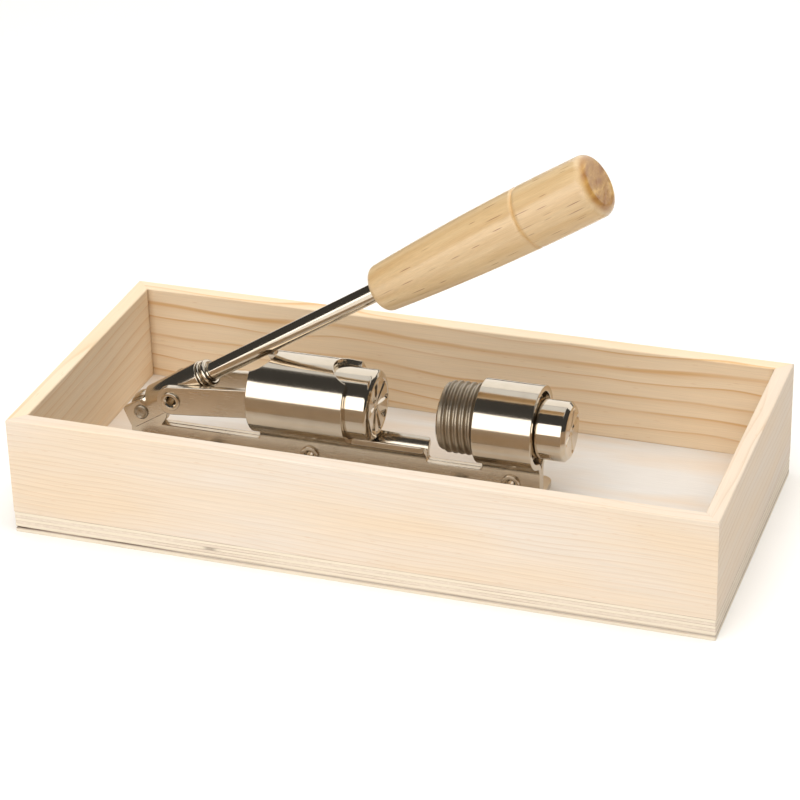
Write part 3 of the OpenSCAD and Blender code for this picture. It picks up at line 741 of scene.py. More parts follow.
class BoardsOperator(bpy.types.Operator):
    """Four pine boards with sanded edges, mitred at the corners"""
    bl_idname = "nutcracker.boards"
    bl_label = "Pine boards"

    def execute(self, context):
        settings = context.scene.nutcracker_tray
        across = (TRAY_HIGH.x - TRAY_LOW.x, TRAY_HIGH.y - TRAY_LOW.y)
        thick = BOARD_HIGH.y - BOARD_LOW.y
        quarter = math.pi / 2
        # The back and left boards, whose inner faces show, get painted light: a warmer, paler tone for the
        # light bounced round inside the tray.
        looks = {
            "tray_front": dict(shift=(0, 0, 0), ring=2.6, strength=0.42, bend=0.8, grey=0.6),
            "tray_back": dict(shift=(0.4, 0, 0.013), ring=8.2, strength=0.85, bend=1.5, painted_bounce_light=0.65),
            "tray_left": dict(turn=quarter, shift=(0.9, 0, 0.02), ring=6.0, strength=0.5, bend=1.2, painted_bounce_light=0.6),
            "tray_right": dict(turn=quarter, shift=(1.7, 0, 0.007), ring=4.2, strength=0.45, bend=1.0,
                               grey=0.6),
        }
        turns = {"tray_front": 0, "tray_right": 1, "tray_back": 2, "tray_left": 3}
        for node, look in looks.items():
            turn = turns[node]
            full, wide = across if turn % 2 == 0 else across[::-1]
            low, high = BOARD_LOW.z, BOARD_HIGH.z
            section = fillet([(0, low, settings.corner_round), (thick, low, settings.corner_round),
                              (thick, high, settings.top_round), (0, high, settings.top_round)], 5)
            place = Matrix.Rotation(quarter * turn, 4, "Z") @ Matrix.Translation((0, -wide / 2, 0))
            bm = bmesh.new()
            stations = 90
            rings = []
            for k in range(stations + 1):
                share = 2 * k / stations - 1
                ring = []
                for depth, z in section:
                    end = full / 2 - depth - 0.03 * MM
                    x = end * share
                    # Hand sanding leaves the top edges a few hundredths uneven
                    top = smooth(high - 2 * MM, high, z)
                    wander = noise.noise(Vector((x * 60, depth * 90 + turn * 7, 3.1))) - 0.4
                    sunk = 0.22 * MM * top * max(0.0, wander)
                    ring.append(bm.verts.new(place @ Vector((x, depth, z - sunk))))
                rings.append(ring)
            count = len(section)
            for one, two in zip(rings, rings[1:]):
                for k in range(count):
                    n = (k + 1) % count
                    bm.faces.new((one[k], two[k], two[n], one[n]))
            bm.faces.new(rings[0])
            bm.faces.new(rings[-1][::-1])
            board = make_object("pine_" + node.split("_")[1] + "_board", bm)
            material = pine("pine_sanded_" + node.split("_")[1], **look)
            hand_over(board, "base", "pine", material, node, crease=50)
        return {"FINISHED"}


class PlywoodOperator(bpy.types.Operator):
    """Plywood bottom whose edges show its plies, glue lines and a few gaps"""
    bl_idname = "nutcracker.plywood"
    bl_label = "Plywood bottom"

    def execute(self, context):
        settings = context.scene.nutcracker_tray
        half_x, half_y = TRAY_HIGH.x, TRAY_HIGH.y
        radius = 0.7 * MM
        step = 2.5 * MM
        outline = []
        for cx, cy, start in ((1, -1, -90), (1, 1, 0), (-1, 1, 90), (-1, -1, 180)):
            corner = arc(cx * (half_x - radius), cy * (half_y - radius), radius, start, start + 90, 4)
            outline += [(a, b, math.radians(start + 90 * k / 4)) for k, (a, b) in enumerate(corner)]
        dense = []
        for (a, b, t), (c, d, u) in zip(outline, outline[1:] + outline[:1]):
            gap = math.hypot(c - a, d - b)
            pieces = max(1, int(gap / step))
            turn = t if gap > 2 * radius else (t + u) / 2
            for k in range(pieces):
                share = k / pieces
                dense.append((a + (c - a) * share, b + (d - b) * share, t if k == 0 else turn))
        thick = FLOOR_Z / settings.plies
        # Levels up the edge: (height, is it a glue line, which ply)
        levels = [(0.0, 0.5, 0)]
        for ply in range(settings.plies):
            low = ply * thick
            levels += [(low + share * thick, 0.0, ply) for share in (0.09, 0.36, 0.5, 0.64, 0.91)]
            if ply < settings.plies - 1:
                levels.append((low + thick, 1.0, ply))
        levels.append((FLOOR_Z, 0.5, settings.plies - 1))
        bm = bmesh.new()
        on_edge = bm.verts.layers.float.new("edge")
        void_shade_and_knot_layer = bm.verts.layers.float.new("gap")
        open_ply, knot_ply = 1, settings.plies - 3
        rings = []
        for z, glue, ply in levels:
            ring = []
            for a, b, turn in dense:
                ragged = noise.noise(Vector((a * 45, b * 45, ply * 3.7)))
                recess = settings.ply_groove * glue * (0.7 + 0.5 * ragged)
                recess += 0.06 * MM * (ply % 2) * (1 + ragged)
                void_shade_and_knot = 0.0
                # Painted shade: along the middle of this ply the open void is painted dark, darkest where it
                # is recessed.
                if ply == open_ply and abs(z - (ply + 0.5) * thick) < thick * 0.2:
                    opened = smooth(0.0, 0.34, noise.noise(Vector((a * 14 + 5.0, b * 16, 1.7))))
                    void_shade_and_knot = 0.42 + 0.58 * opened
                    recess += 1.1 * MM * opened
                # A knot in the front edge of another ply has its real dark tone.
                if ply == knot_ply and b < 0:
                    void_shade_and_knot = max(void_shade_and_knot, 0.5 * (1 - smooth(1 * MM, 4.5 * MM, abs(a + 0.07))))
                vert = bm.verts.new((a - recess * math.cos(turn), b - recess * math.sin(turn), z))
                vert[on_edge] = 1.0
                vert[void_shade_and_knot_layer] = void_shade_and_knot
                ring.append(vert)
            rings.append(ring)
        count = len(dense)
        for one, two in zip(rings, rings[1:]):
            for k in range(count):
                n = (k + 1) % count
                bm.faces.new((one[k], one[n], two[n], two[k]))
        # The faces start a hair inside the edge, so that the edge's tone stops there
        for ring, z in ((rings[0], 0.0), (rings[-1], FLOOR_Z)):
            inner = []
            for vert in ring:
                here = vert.co
                inner.append(bm.verts.new((here.x * 0.998, here.y * 0.996, z)))
            for k in range(count):
                n = (k + 1) % count
                bm.faces.new((ring[k], ring[n], inner[n], inner[k]))
            bm.faces.new(inner)
        sheet = make_object("plywood_bottom", bm)
        hand_over(sheet, "base", "birch_ply", birch_ply(), "tray_bottom", crease=60)
        return {"FINISHED"}


# ---- Operators: the bracket ----

class BracketOperator(bpy.types.Operator):
    """Bracket folded from one sheet: collars, nut trough, double web, lug and feet"""
    bl_idname = "nutcracker.bracket"
    bl_label = "Folded bracket"

    def execute(self, context):
        metal = context.scene.nutcracker_metal
        middle_r = COLLAR_R - SHEET / 2
        leaf_y = SHEET / 2
        flare_y = SHEET + FLARE_R
        flare_z = AXIS_Z - math.sqrt((COLLAR_R + FLARE_R) ** 2 - flare_y ** 2)
        flare_mid = FLARE_R + SHEET / 2
        open_angle = math.asin(flare_y / (COLLAR_R + FLARE_R))
        bend_mid = BEND_R + SHEET / 2
        bend_y, bend_z = SHEET + BEND_R, FLOOR_Z + SHEET + BEND_R
        reach = BRACKET_HIGH.y
        # Distances along the sheet from the top of the collars
        s_round = (math.pi - open_angle) * middle_r
        s_flare = s_round + flare_mid * (math.pi / 2 - open_angle)
        s_leaf = s_flare + flare_z - bend_z
        s_bend = s_leaf + bend_mid * math.pi / 2
        s_end = s_bend + reach - bend_y
        free_x = REAR[0] - 20 * MM

        def fold(x, s):
            side, a = (1 if s >= 0 else -1), abs(s)
            if a >= s_bend:
                return Vector((x, side * (bend_y + a - s_bend), FLOOR_Z + SHEET / 2))
            if a >= s_leaf:
                turn = (a - s_leaf) / bend_mid
                return Vector((x, side * (bend_y - bend_mid * math.cos(turn)),
                               bend_z - bend_mid * math.sin(turn)))
            if a >= s_flare or x < free_x:
                return Vector((x, side * leaf_y, flare_z + s_flare - a))
            if a >= s_round:
                turn = (s_flare - a) / flare_mid
                return Vector((x, side * (flare_y - flare_mid * math.cos(turn)),
                               flare_z + flare_mid * math.sin(turn)))
            turn = a / middle_r
            return Vector((x, side * middle_r * math.sin(turn), AXIS_Z + middle_r * math.cos(turn)))

        def at_height(z):
            return s_flare + flare_z - z

        def scoop_edge(x, side):
            """The rim of a collar with its finger scoop, from one side of the scoop to the other."""
            centre = x + side * (SCOOP_R - SCOOP_DEPTH)
            widest = math.sqrt(SCOOP_R ** 2 - (SCOOP_R - SCOOP_DEPTH) ** 2)
            points = []
            for k in range(-20, 21):
                y = widest * math.sin(math.pi / 2 * k / 20)
                points.append((centre - side * math.sqrt(SCOOP_R ** 2 - y * y),
                               middle_r * math.asin(y / middle_r)))
            return points

        corner = 5 * MM
        web = at_height(WEB_TOP)
        low_x, high_x = BRACKET_LOW.x, BRACKET_HIGH.x
        lug = [(PIVOT.x - LUG_R, at_height(PIVOT.z))]
        lug += [(x, at_height(z)) for x, z in arc(PIVOT.x, PIVOT.z, LUG_R, 180, 0, 24)][1:]
        foot_arc = arc(PIVOT.x, PIVOT.z, LUG_FOOT_R, 0, -44, 8)
        lug += [(x, at_height(z)) for x, z in foot_arc]
        outer = fillet([(high_x, s_flare, 0), (high_x, s_end, corner), (low_x, s_end, corner),
                        (low_x, web + 2 * MM, 2 * MM), (PIVOT.x - LUG_R, web - 2 * MM, 2 * MM),
                        (PIVOT.x - LUG_R, at_height(PIVOT.z), 0)], 8, closed=False)
        outer += lug + [(foot_arc[-1][0], web), (REAR[0] - 1.6 * MM, web)]
        outer += arc(REAR[0] - 1.6 * MM, web - 1.6 * MM, 1.6 * MM, 90, 0, 5)[1:]
        rear_rim = scoop_edge(REAR[0], -1)
        loop = outer + rear_rim[::-1] + [(x, -s) for x, s in reversed(outer)]
        # The window between the collars, with the trough's long edges on both sides
        trough = middle_r * (math.pi - math.asin(CRADLE_HALF / middle_r))
        half = fillet([(REAR[1], 26 * MM, 0), (REAR[1], trough, 2.2 * MM), (CRADLE_END, trough, 2.2 * MM),
                       (CRADLE_END, web, 1.6 * MM), (FRONT[0], web, 1.6 * MM), (FRONT[0], 0, 0)], 6,
                      closed=False)
        window = scoop_edge(REAR[1], 1)[20:] + half[1:]
        window += [(x, -s) for x, s in reversed(window)]
        holes = [window]
        for side in (1, -1):
            for x, z, radius in [(x, z, 2.6 * MM) for x, z in RIVET_PLACES] + [(PIVOT.x, PIVOT.z, 2.56 * MM)]:
                holes.append([(a, side * at_height(b)) for a, b in arc(x, z, radius, 0, 360, 24)[:-1]])
            for x, y in SCREW_PLACES:
                s = s_bend + y - bend_y
                holes.append([(a, side * b) for a, b in arc(x, s, 1.9 * MM, 0, 360, 24)[:-1]])
        bends = [s_round * k / 34 for k in range(35)]
        bends += [s_round + (s_flare - s_round) * k / 8 for k in range(1, 9)]
        bends += [s_leaf + (s_bend - s_leaf) * k / 6 for k in range(7)]
        bm = bmesh.new()
        blank(bm, [loop] + holes, SHEET - 0.02 * MM, metal.edge)
        score(bm, sorted({b for b in bends} | {-b for b in bends}), Vector((0, 1, 0)))
        form_sheet(bm, fold, lambda x, s: smooth(s_round, s_flare, abs(s)))
        bracket = make_object("folded_bracket", bm)
        hand_over(bracket, "base", "nickel_sheet", finish("nickel_polished_sheet"), "bracket")
        return {"FINISHED"}


def rivet_item(half_grip, shank, bore, head, height):
    """A hollow rivet across Y with a rolled head on each side, at the origin."""
    roll = height * 0.5
    side = [(half_grip, head, roll * 0.6), (half_grip + height, head - roll * 0.3, roll),
            (half_grip + height, bore + (head - bore) * 0.35, roll * 0.9),
            (half_grip + height * 0.1, bore, roll * 0.6)]
    outline = fillet([(a, r, q) for a, r, q in side] + [(-a, r, q) for a, r, q in reversed(side)]
                     + [(-half_grip, shank, 0), (half_grip, shank, 0)], 6)
    bm = bmesh.new()
    revolve(bm, outline, 48, Matrix.Rotation(math.pi / 2, 4, "Z"), closed=True)
    return make_object("rivet_item", bm)


class WebRivetsOperator(bpy.types.Operator):
    """Hollow rivets that clamp the two leaves of the web"""
    bl_idname = "nutcracker.web_rivets"
    bl_label = "Web rivets"

    def execute(self, context):
        material = finish("nickel_rolled_rivet")
        item = rivet_item(SHEET, 2.55 * MM, 1.5 * MM, 4.7 * MM, 1.4 * MM)
        rivets = set_out("web_rivets_rolled", item, [(x, 0, z) for x, z in RIVET_PLACES], material)
        hand_over(rivets, "base", "nickel_sheet", material, "web_rivets")
        return {"FINISHED"}


class FootScrewsOperator(bpy.types.Operator):
    """Pan-head wood screws with a cross recess and a helical thread, which hold the feet to the bottom"""
    bl_idname = "nutcracker.foot_screws"
    bl_label = "Foot screws"

    def execute(self, context):
        material = finish("zinc_plated_steel")
        head, rise, shank, long = 3.4 * MM, 2.1 * MM, 1.6 * MM, 11.2 * MM
        up = Matrix.Rotation(-math.pi / 2, 4, "Y")
        profile = fillet([(0.0, 0.0, 0), (0.0, head, 0.25 * MM), (rise * 0.45, head, 0.5 * MM),
                          (rise, head * 0.62, 0.9 * MM), (rise, 0.0, 0)], 5, closed=False)
        turns, steps = 5, 16
        bm = bmesh.new()
        revolve(bm, [(-long + 2 * MM, 0.0), (-long + 2 * MM, shank * 0.8), (0.02 * MM, shank * 0.8),
                     (0.02 * MM, 0.0)], steps * 2, up)
        revolve(bm, [(-long, 0.0), (-long + 2.05 * MM, shank * 0.79), (-long + 2.05 * MM, 0.0)], steps * 2,
                up)
        last = None
        for k in range(turns * steps + 1):
            turn = 2 * math.pi * k / steps
            z = -long + 1.6 * MM + k / (turns * steps) * (long - 5 * MM)
            ring = [bm.verts.new((r * math.cos(turn), r * math.sin(turn), z + dz))
                    for r, dz in ((shank * 0.7, 0.45 * MM), (shank, 0), (shank * 0.7, -0.45 * MM))]
            if last:
                for a, b in ((0, 1), (1, 2), (2, 0)):
                    bm.faces.new((last[a], ring[a], ring[b], last[b]))
            else:
                bm.faces.new(ring)
            last = ring
        bm.faces.new(last[::-1])
        body = make_object("screw_body", bm)
        bm = bmesh.new()
        revolve(bm, profile, steps * 3, up)
        head_obj = make_object("screw_head", bm)
        bm = bmesh.new()
        reach, half = 1.8 * MM, 0.42 * MM
        cross = []
        for turn in range(4):
            c, s = math.cos(turn * math.pi / 2), math.sin(turn * math.pi / 2)
            for a, b in ((half, -half), (reach, -half * 0.8), (reach, half * 0.8)):
                cross.append((a * c - b * s, a * s + b * c))
        rings = [[bm.verts.new((a * k, b * k, z)) for a, b in cross]
                 for z, k in ((rise - 1.2 * MM, 0.55), (rise + 0.3 * MM, 1.05))]
        for k in range(len(cross)):
            n = (k + 1) % len(cross)
            bm.faces.new((rings[0][k], rings[0][n], rings[1][n], rings[1][k]))
        bm.faces.new(rings[0][::-1])
        bm.faces.new(rings[1])
        recess = make_object("screw_recess", bm)
        cut = head_obj.modifiers.new("recess", "BOOLEAN")
        cut.object = recess
        cut.operation = "DIFFERENCE"
        settle(head_obj)
        whole = bmesh.new()
        whole.from_mesh(head_obj.data)
        whole.from_mesh(body.data)
        item = make_object("screw_item", whole, outward=False)
        for part in (body, head_obj, recess):
            bpy.data.objects.remove(part)
        places = [(x, side * y, FLOOR_Z + SHEET) for x, y in SCREW_PLACES for side in (-1, 1)]
        screws = set_out("foot_screws_cross", item, places, material, turn=math.pi / 2)
        hand_over(screws, "base", "zinc_steel", material, "foot_screws")
        return {"FINISHED"}


# ---- Operators: the lever ----

class YokeOperator(bpy.types.Operator):
    """Yoke folded from sheet: flat ears at the pivot, a U behind them, and a closed sleeve for the rod"""
    bl_idname = "nutcracker.yoke"
    bl_label = "Folded yoke"

    def execute(self, context):
        sheet = YOKE_OUT - YOKE_IN
        middle_r = (YOKE_OUT + YOKE_IN) / 2
        quarter = middle_r * math.pi / 2
        leg_end = quarter + ROD_V + YOKE_DROP
        seam = 2 * quarter - 0.12 * MM

        def fold(u, s):
            side, a = (1 if s >= 0 else -1), abs(s)
            flat = Vector((u, side * middle_r, ROD_V + quarter - a))
            tube = Vector((u, side * middle_r * math.sin(a / middle_r),
                           ROD_V + middle_r * math.cos(a / middle_r)))
            bowed = tube if a < quarter else flat
            ears = smooth(2.6 * MM, YOKE_WEB - 0.2 * MM, u)
            shut = smooth(YOKE_CLOSE - 7 * MM, YOKE_CLOSE + 0.5 * MM, u)
            open_form = flat.lerp(bowed, ears)
            return open_form.lerp(tube, shut)

        def at_v(v):
            return quarter + ROD_V - v

        half = fillet([
            (YOKE_END, 0, 0), (YOKE_END, seam, 0.5 * MM), (YOKE_CLOSE + 0.6 * MM, seam, 1.0 * MM),
            (YOKE_CLOSE - 7 * MM, leg_end, 4 * MM), (-7.4 * MM, leg_end, 1.2 * MM),
            (-9.6 * MM, at_v(-4.4 * MM), 1.6 * MM),
            (-8 * MM, at_v(5 * MM), 1.4 * MM), (-6.6 * MM, at_v(6 * MM), 1.2 * MM),
            (4.0 * MM, at_v(5.7 * MM), 1.0 * MM),
            (YOKE_WEB, at_v(7.4 * MM), 0.8 * MM), (YOKE_WEB, 0, 0)], 5, closed=False)
        loop = half + [(u, -s) for u, s in reversed(half[1:-1])]
        crank_to = LEVER_PLACE.inverted() @ CRANK
        holes = []
        for side in (1, -1):
            for u, v, radius in ((0, 0, 2.5 * MM), (crank_to.x, crank_to.z, 3.05 * MM)):
                holes.append([(a, side * at_v(b)) for a, b in arc(u, v, radius, 0, 360, 28)[:-1]])
        bm = bmesh.new()
        blank(bm, [loop] + holes, sheet - 0.02 * MM, 0.35 * MM)
        bends = [quarter * k / 14 for k in range(29)]
        score(bm, sorted({b for b in bends} | {-b for b in bends}), Vector((0, 1, 0)))
        across = [2.6 * MM + 0.45 * MM * k for k in range(9)]
        across += [YOKE_CLOSE - 7.5 * MM + 0.8 * MM * k for k in range(12)]
        score(bm, across, Vector((1, 0, 0)))
        form_sheet(bm, fold, lambda u, s: (1 - smooth(YOKE_CLOSE - 7 * MM, YOKE_CLOSE, u))
                   * smooth(quarter * 0.8, quarter, abs(s)))
        bmesh.ops.transform(bm, matrix=LEVER_PLACE, verts=bm.verts)
        yoke = make_object("folded_yoke", bm)
        hand_over(yoke, "lever", "nickel_sheet", finish("nickel_polished_sheet"), "yoke")
        return {"FINISHED"}


class RodOperator(bpy.types.Operator):
    """Polished rod, and the bush with two rolled rings that grips it at the yoke's mouth"""
    bl_idname = "nutcracker.rod"
    bl_label = "Rod and rings"

    def execute(self, context):
        place = LEVER_PLACE @ Matrix.Translation((0, 0, ROD_V))
        start, end = YOKE_CLOSE + 0.5 * MM, HANDLE_START + 60 * MM
        profile = fillet([(start, 0, 0), (start, ROD_R - 0.1 * MM, 0.5 * MM),
                          (YOKE_END + 6 * MM, ROD_R - 0.1 * MM, 0),
                          (YOKE_END + 6.4 * MM, ROD_R, 0), (HANDLE_START - 0.5 * MM, ROD_R, 0),
                          (end, ROD_R, 0.5 * MM), (end, 0, 0)], 4, closed=False)
        bm = bmesh.new()
        revolve(bm, profile, 96, place)
        hand_over(make_object("polished_rod", bm), "lever", "nickel_bar", finish("nickel_polished_bar"),
                  "rod")

        inner = ROD_R + 0.02 * MM
        outline = [(YOKE_END - 7 * MM, inner), (YOKE_END - 7 * MM, YOKE_IN), (YOKE_END - 0.05 * MM, YOKE_IN)]
        for at, radius, wire in ((1.0, 6.5, 0.85), (3.7, 5.5, 1.35)):
            outline += arc(YOKE_END + at * MM, radius * MM, wire * MM, 215, -35, 14)
        outline += [(YOKE_END + 5.2 * MM, inner)]
        bm = bmesh.new()
        revolve(bm, outline, 96, place, closed=True)
        rings = make_object("rod_rings", bm)
        hand_over(rings, "lever", "nickel_sheet", finish("nickel_polished_sheet"), "rod_collar", crease=40)
        return {"FINISHED"}


class HandleOperator(bpy.types.Operator):
    """Turned beech handle with a ring groove and rounded ends"""
    bl_idname = "nutcracker.handle"
    bl_label = "Beech handle"

    def execute(self, context):
        settings = context.scene.nutcracker_handle
        widest = 0.8 * HANDLE_LONG

        def barrel(at):
            return HANDLE_R - (HANDLE_R - NECK_R) * ((widest - at) / widest) ** 2

        near, far = 3.8 * MM, 4.8 * MM
        groove_at = settings.groove_at * HANDLE_LONG
        profile = [(2.2 * MM, ROD_R + 0.05 * MM), (0.5 * MM, ROD_R + 0.25 * MM),
                   (0.05 * MM, ROD_R + 0.9 * MM)]
        profile += arc(near, barrel(near) - near, near, 178, 90, 9)
        steps = 150
        for k in range(1, steps):
            at = near + (HANDLE_LONG - near - far) * k / steps
            off = abs(at - groove_at) / (0.9 * MM)
            profile.append((at, barrel(at) - settings.groove * max(0.0, 1 - off * off)))
        profile += arc(HANDLE_LONG - far, barrel(HANDLE_LONG - far) - far, far, 90, 4, 10)
        # The far end is slightly domed by the lathe's last cut
        end_r = barrel(HANDLE_LONG - far) - far
        for r in (0.8, 0.55, 0.3, 0.12, 0):
            profile.append((HANDLE_LONG - 0.05 * MM + 0.05 * MM * (1 - r * r), end_r * r))
        place = LEVER_PLACE @ Matrix.Translation((HANDLE_START, 0, ROD_V))
        bm = bmesh.new()
        ends = bm.verts.layers.float.new("end_grain")
        groove_shade_layer = bm.verts.layers.float.new("groove")
        skin = bm.verts.layers.float_vector.new("skin")
        revolve(bm, profile, 128, place)
        back = place.inverted()
        bm.verts.ensure_lookup_table()
        for vert in bm.verts:
            here = back @ vert.co
            at = here.x
            # Place on the unrolled surface, in metres; its seam is underneath
            vert[skin] = (at, 14 * MM * math.atan2(here.y, here.z), 0)
            vert[ends] = max(smooth(HANDLE_LONG - 2.6 * MM, HANDLE_LONG - 0.4 * MM, at),
                             0.5 * smooth(1.2 * MM, 0, at))
            # Painted shade in the ring groove: its share eases out 1.1 mm to each side.
            vert[groove_shade_layer] = 0.75 * max(0.0, 1 - abs(at - groove_at) / (1.1 * MM))
        rim = [e for e in bm.edges if e.is_boundary]
        bmesh.ops.holes_fill(bm, edges=rim)
        hand_over(make_object("beech_handle", bm), "lever", "beech", lacquered_beech(), "handle", crease=45)
        return {"FINISHED"}


class PivotOperator(bpy.types.Operator):
    """Lever's pin with its domed heads, the two washers on it, and the hollow rivet that carries the links"""
    bl_idname = "nutcracker.pivot"
    bl_label = "Pivot pin, washers and link rivet"

    def execute(self, context):
        steel = finish("zinc_plated_steel")
        bright = finish("nickel_rolled_rivet")
        half = YOKE_OUT
        side = [(half, 2.5 * MM, 0), (half + 0.02 * MM, 3.7 * MM, 0.3 * MM),
                (half + 0.75 * MM, 3.7 * MM, 0.5 * MM),
                (half + 1.2 * MM, 2.9 * MM, 0.5 * MM), (half + 0.75 * MM, 2.3 * MM, 0.4 * MM),
                (half + 0.8 * MM, 1.5 * MM, 0.6 * MM), (half + 1.15 * MM, 0, 0)]
        whole = [(-a, r, q) for a, r, q in reversed(side)] + side
        bm = bmesh.new()
        turn = Matrix.Rotation(math.pi / 2, 4, "Z")
        revolve(bm, fillet(whole, 5, closed=False), 64, Matrix.Translation(PIVOT) @ turn)
        hand_over(make_object("pivot_pin_domed", bm), "lever", "zinc_steel", steel, "pivot_pin")

        low, high = SHEET + 0.12 * MM, YOKE_IN - 0.12 * MM
        bm = bmesh.new()
        edge = 0.25 * MM
        thick = (high - low) / 2
        outline = fillet([(-thick, 2.56 * MM, edge), (-thick, 6.2 * MM, edge), (thick, 6.2 * MM, edge),
                          (thick, 2.56 * MM, edge)], 4)
        revolve(bm, outline, 56, turn, closed=True)
        middle = (low + high) / 2
        places = [PIVOT + Vector((0, sign * middle, 0)) for sign in (-1, 1)]
        washers = set_out("pivot_washers_plain", make_object("washer_item", bm), places, steel)
        hand_over(washers, "lever", "zinc_steel", steel, "pivot_washers")

        item = rivet_item(LINK_Y + LINK_SHEET + 0.1 * MM, 3.0 * MM, 2.3 * MM, 4.8 * MM, 1.0 * MM)
        rivet = set_out("link_rivet_rolled", item, [CRANK], bright)
        hand_over(rivet, "lever", "nickel_hardware", bright, "link_rivet")
        return {"FINISHED"}


# ---- Operators: links, plunger and anvil ----

class LinksOperator(bpy.types.Operator):
    """Two link plates, sheared from bar and tumbled"""
    bl_idname = "nutcracker.links"
    bl_label = "Link plates"

    def execute(self, context):
        metal = context.scene.nutcracker_metal
        rise = math.asin((WRIST.z - CRANK.z) / LINK_LONG)
        place = Matrix.Translation(CRANK) @ Matrix.Rotation(-rise, 4, "Y")
        hole_at = (LINK_LONG - 0.3 * MM, -1.65 * MM)
        end_r = WRIST_R + 1.95 * MM + 1.9 * MM
        taper = LINK_LONG * 0.62
        outline = arc(0, 0, LINK_HALF, 270, 90, 30)
        outline += [(taper, LINK_HALF)] + arc(*hole_at, end_r, 86, -86, 24) + [(taper, -LINK_HALF)]
        holes = [arc(0, 0, 3.06 * MM, 0, 360, 32)[:-1], arc(*hole_at, WRIST_R + 1.95 * MM, 0, 360, 40)[:-1]]
        for name, low in (("link_near", -LINK_Y - LINK_SHEET), ("link_far", LINK_Y)):
            bm = bmesh.new()
            blank(bm, [outline] + holes, LINK_SHEET, metal.edge)
            form_sheet(bm, lambda u, v: Vector((u, low + LINK_SHEET / 2, v)), lambda u, v: 1.0)
            bmesh.ops.transform(bm, matrix=place, verts=bm.verts)
            plate = make_object(name + "_plate", bm)
            hand_over(plate, "links", "nickel_sheet", finish("nickel_polished_sheet"), name)
        return {"FINISHED"}


def star_shape(face_x, outward, inner, rim, cuts, wide, deep, seed):
    """Radial V cuts in a face square to X, filed by hand: each has its own width, depth and lean."""
    rng = random.Random(seed)
    made = [(2 * math.pi * (k + rng.uniform(-0.2, 0.2)) / cuts, wide * rng.uniform(0.7, 1.35),
             deep * rng.uniform(0.75, 1.25)) for k in range(cuts)]

    def shape(along, radius, turn):
        if abs(along - face_x) > 3 * MM or radius < inner or radius > rim:
            return along, radius
        out_share = (radius - inner) / (rim - inner)
        fade = smooth(inner, inner + 1.5 * MM, radius) * (1 - smooth(rim - 1.2 * MM, rim, radius))
        sunk = 0.0
        for at, width, depth in made:
            off = abs((turn - at + math.pi) % (2 * math.pi) - math.pi) * radius
            sunk = max(sunk, depth * (1 - off / (width * (0.35 + 0.9 * out_share))))
        return along - outward * sunk * fade, radius
    return shape


def face_steps(start, end, count):
    """Points along a straight run of a profile, so that cuts have somewhere to bend."""
    return [(start[0] + (end[0] - start[0]) * k / count, start[1] + (end[1] - start[1]) * k / count)
            for k in range(1, count)]


class PlungerOperator(bpy.types.Operator):
    """Plunger: a cup with a rounded nose and a dished, star-cut face"""
    bl_idname = "nutcracker.plunger"
    bl_label = "Plunger"

    def execute(self, context):
        metal = context.scene.nutcracker_metal
        face, back = PLUNGER_HIGH.x, PLUNGER_LOW.x
        rim = SLIDE_R - 3.3 * MM
        wall = SLIDE_R - 2.4 * MM
        cup_end = WRIST.x + 9.5 * MM
        nose = fillet([(face - 8 * MM, SLIDE_R, 0), (face - 1.5 * MM, SLIDE_R, 2.6 * MM),
                       (face - 0.2 * MM, rim + 0.8 * MM, 0.8 * MM),
                       (face - 0.02 * MM, rim, 0.5 * MM), (face - 0.3 * MM, rim - 0.9 * MM, 0.5 * MM),
                       (face - 1.8 * MM, 0, 0)], 8, closed=False)
        dish = face_steps(nose[-2], nose[-1], 22)
        profile = fillet([(cup_end, 0, 0), (cup_end, wall, 1.0 * MM), (back, wall, 0.4 * MM),
                          (back, SLIDE_R, 0.6 * MM),
                          (face - 8 * MM, SLIDE_R, 0)], 5, closed=False)
        profile = profile + nose[1:-1] + dish + [nose[-1]]
        shape = star_shape(face, 1, 1.6 * MM, rim - 0.3 * MM, metal.star_cuts, 1.9 * MM, 1.2 * MM, 4)
        bm = bmesh.new()
        revolve(bm, profile, 320, AXIS_PLACE, shape=shape)
        plunger = make_object("plunger_cup", bm)
        hand_over(plunger, "plunger", "nickel_bar", finish("nickel_polished_bar"), "plunger", crease=38)
        return {"FINISHED"}


class WristOperator(bpy.types.Operator):
    """Wrist pin across the plunger's cup and the spacer tube between the links"""
    bl_idname = "nutcracker.wrist"
    bl_label = "Wrist pin and spacer"

    def execute(self, context):
        steel = finish("zinc_plated_steel")
        turn = Matrix.Translation(WRIST) @ Matrix.Rotation(math.pi / 2, 4, "Z")
        half = (WRIST_HIGH.y - WRIST_LOW.y) / 2
        chamfer = 0.5 * MM
        bm = bmesh.new()
        revolve(bm, [(-half, 0), (-half, WRIST_R - chamfer), (-half + chamfer, WRIST_R),
                     (half - chamfer, WRIST_R), (half, WRIST_R - chamfer), (half, 0)], 48, turn)
        hand_over(make_object("wrist_pin_turned", bm), "plunger", "zinc_steel", steel, "wrist_pin")
        low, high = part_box("wrist_spacer")
        reach, radius = (high.y - low.y) / 2, (high.z - low.z) / 2
        bm = bmesh.new()
        tube = fillet([(-reach, WRIST_R + 0.02 * MM, 0.3 * MM), (-reach, radius, 0.4 * MM),
                       (reach, radius, 0.4 * MM),
                       (reach, WRIST_R + 0.02 * MM, 0.3 * MM)], 4)
        revolve(bm, tube, 56, turn, closed=True)
        hand_over(make_object("wrist_spacer_tube", bm), "plunger", "zinc_steel", steel, "wrist_spacer")
        return {"FINISHED"}


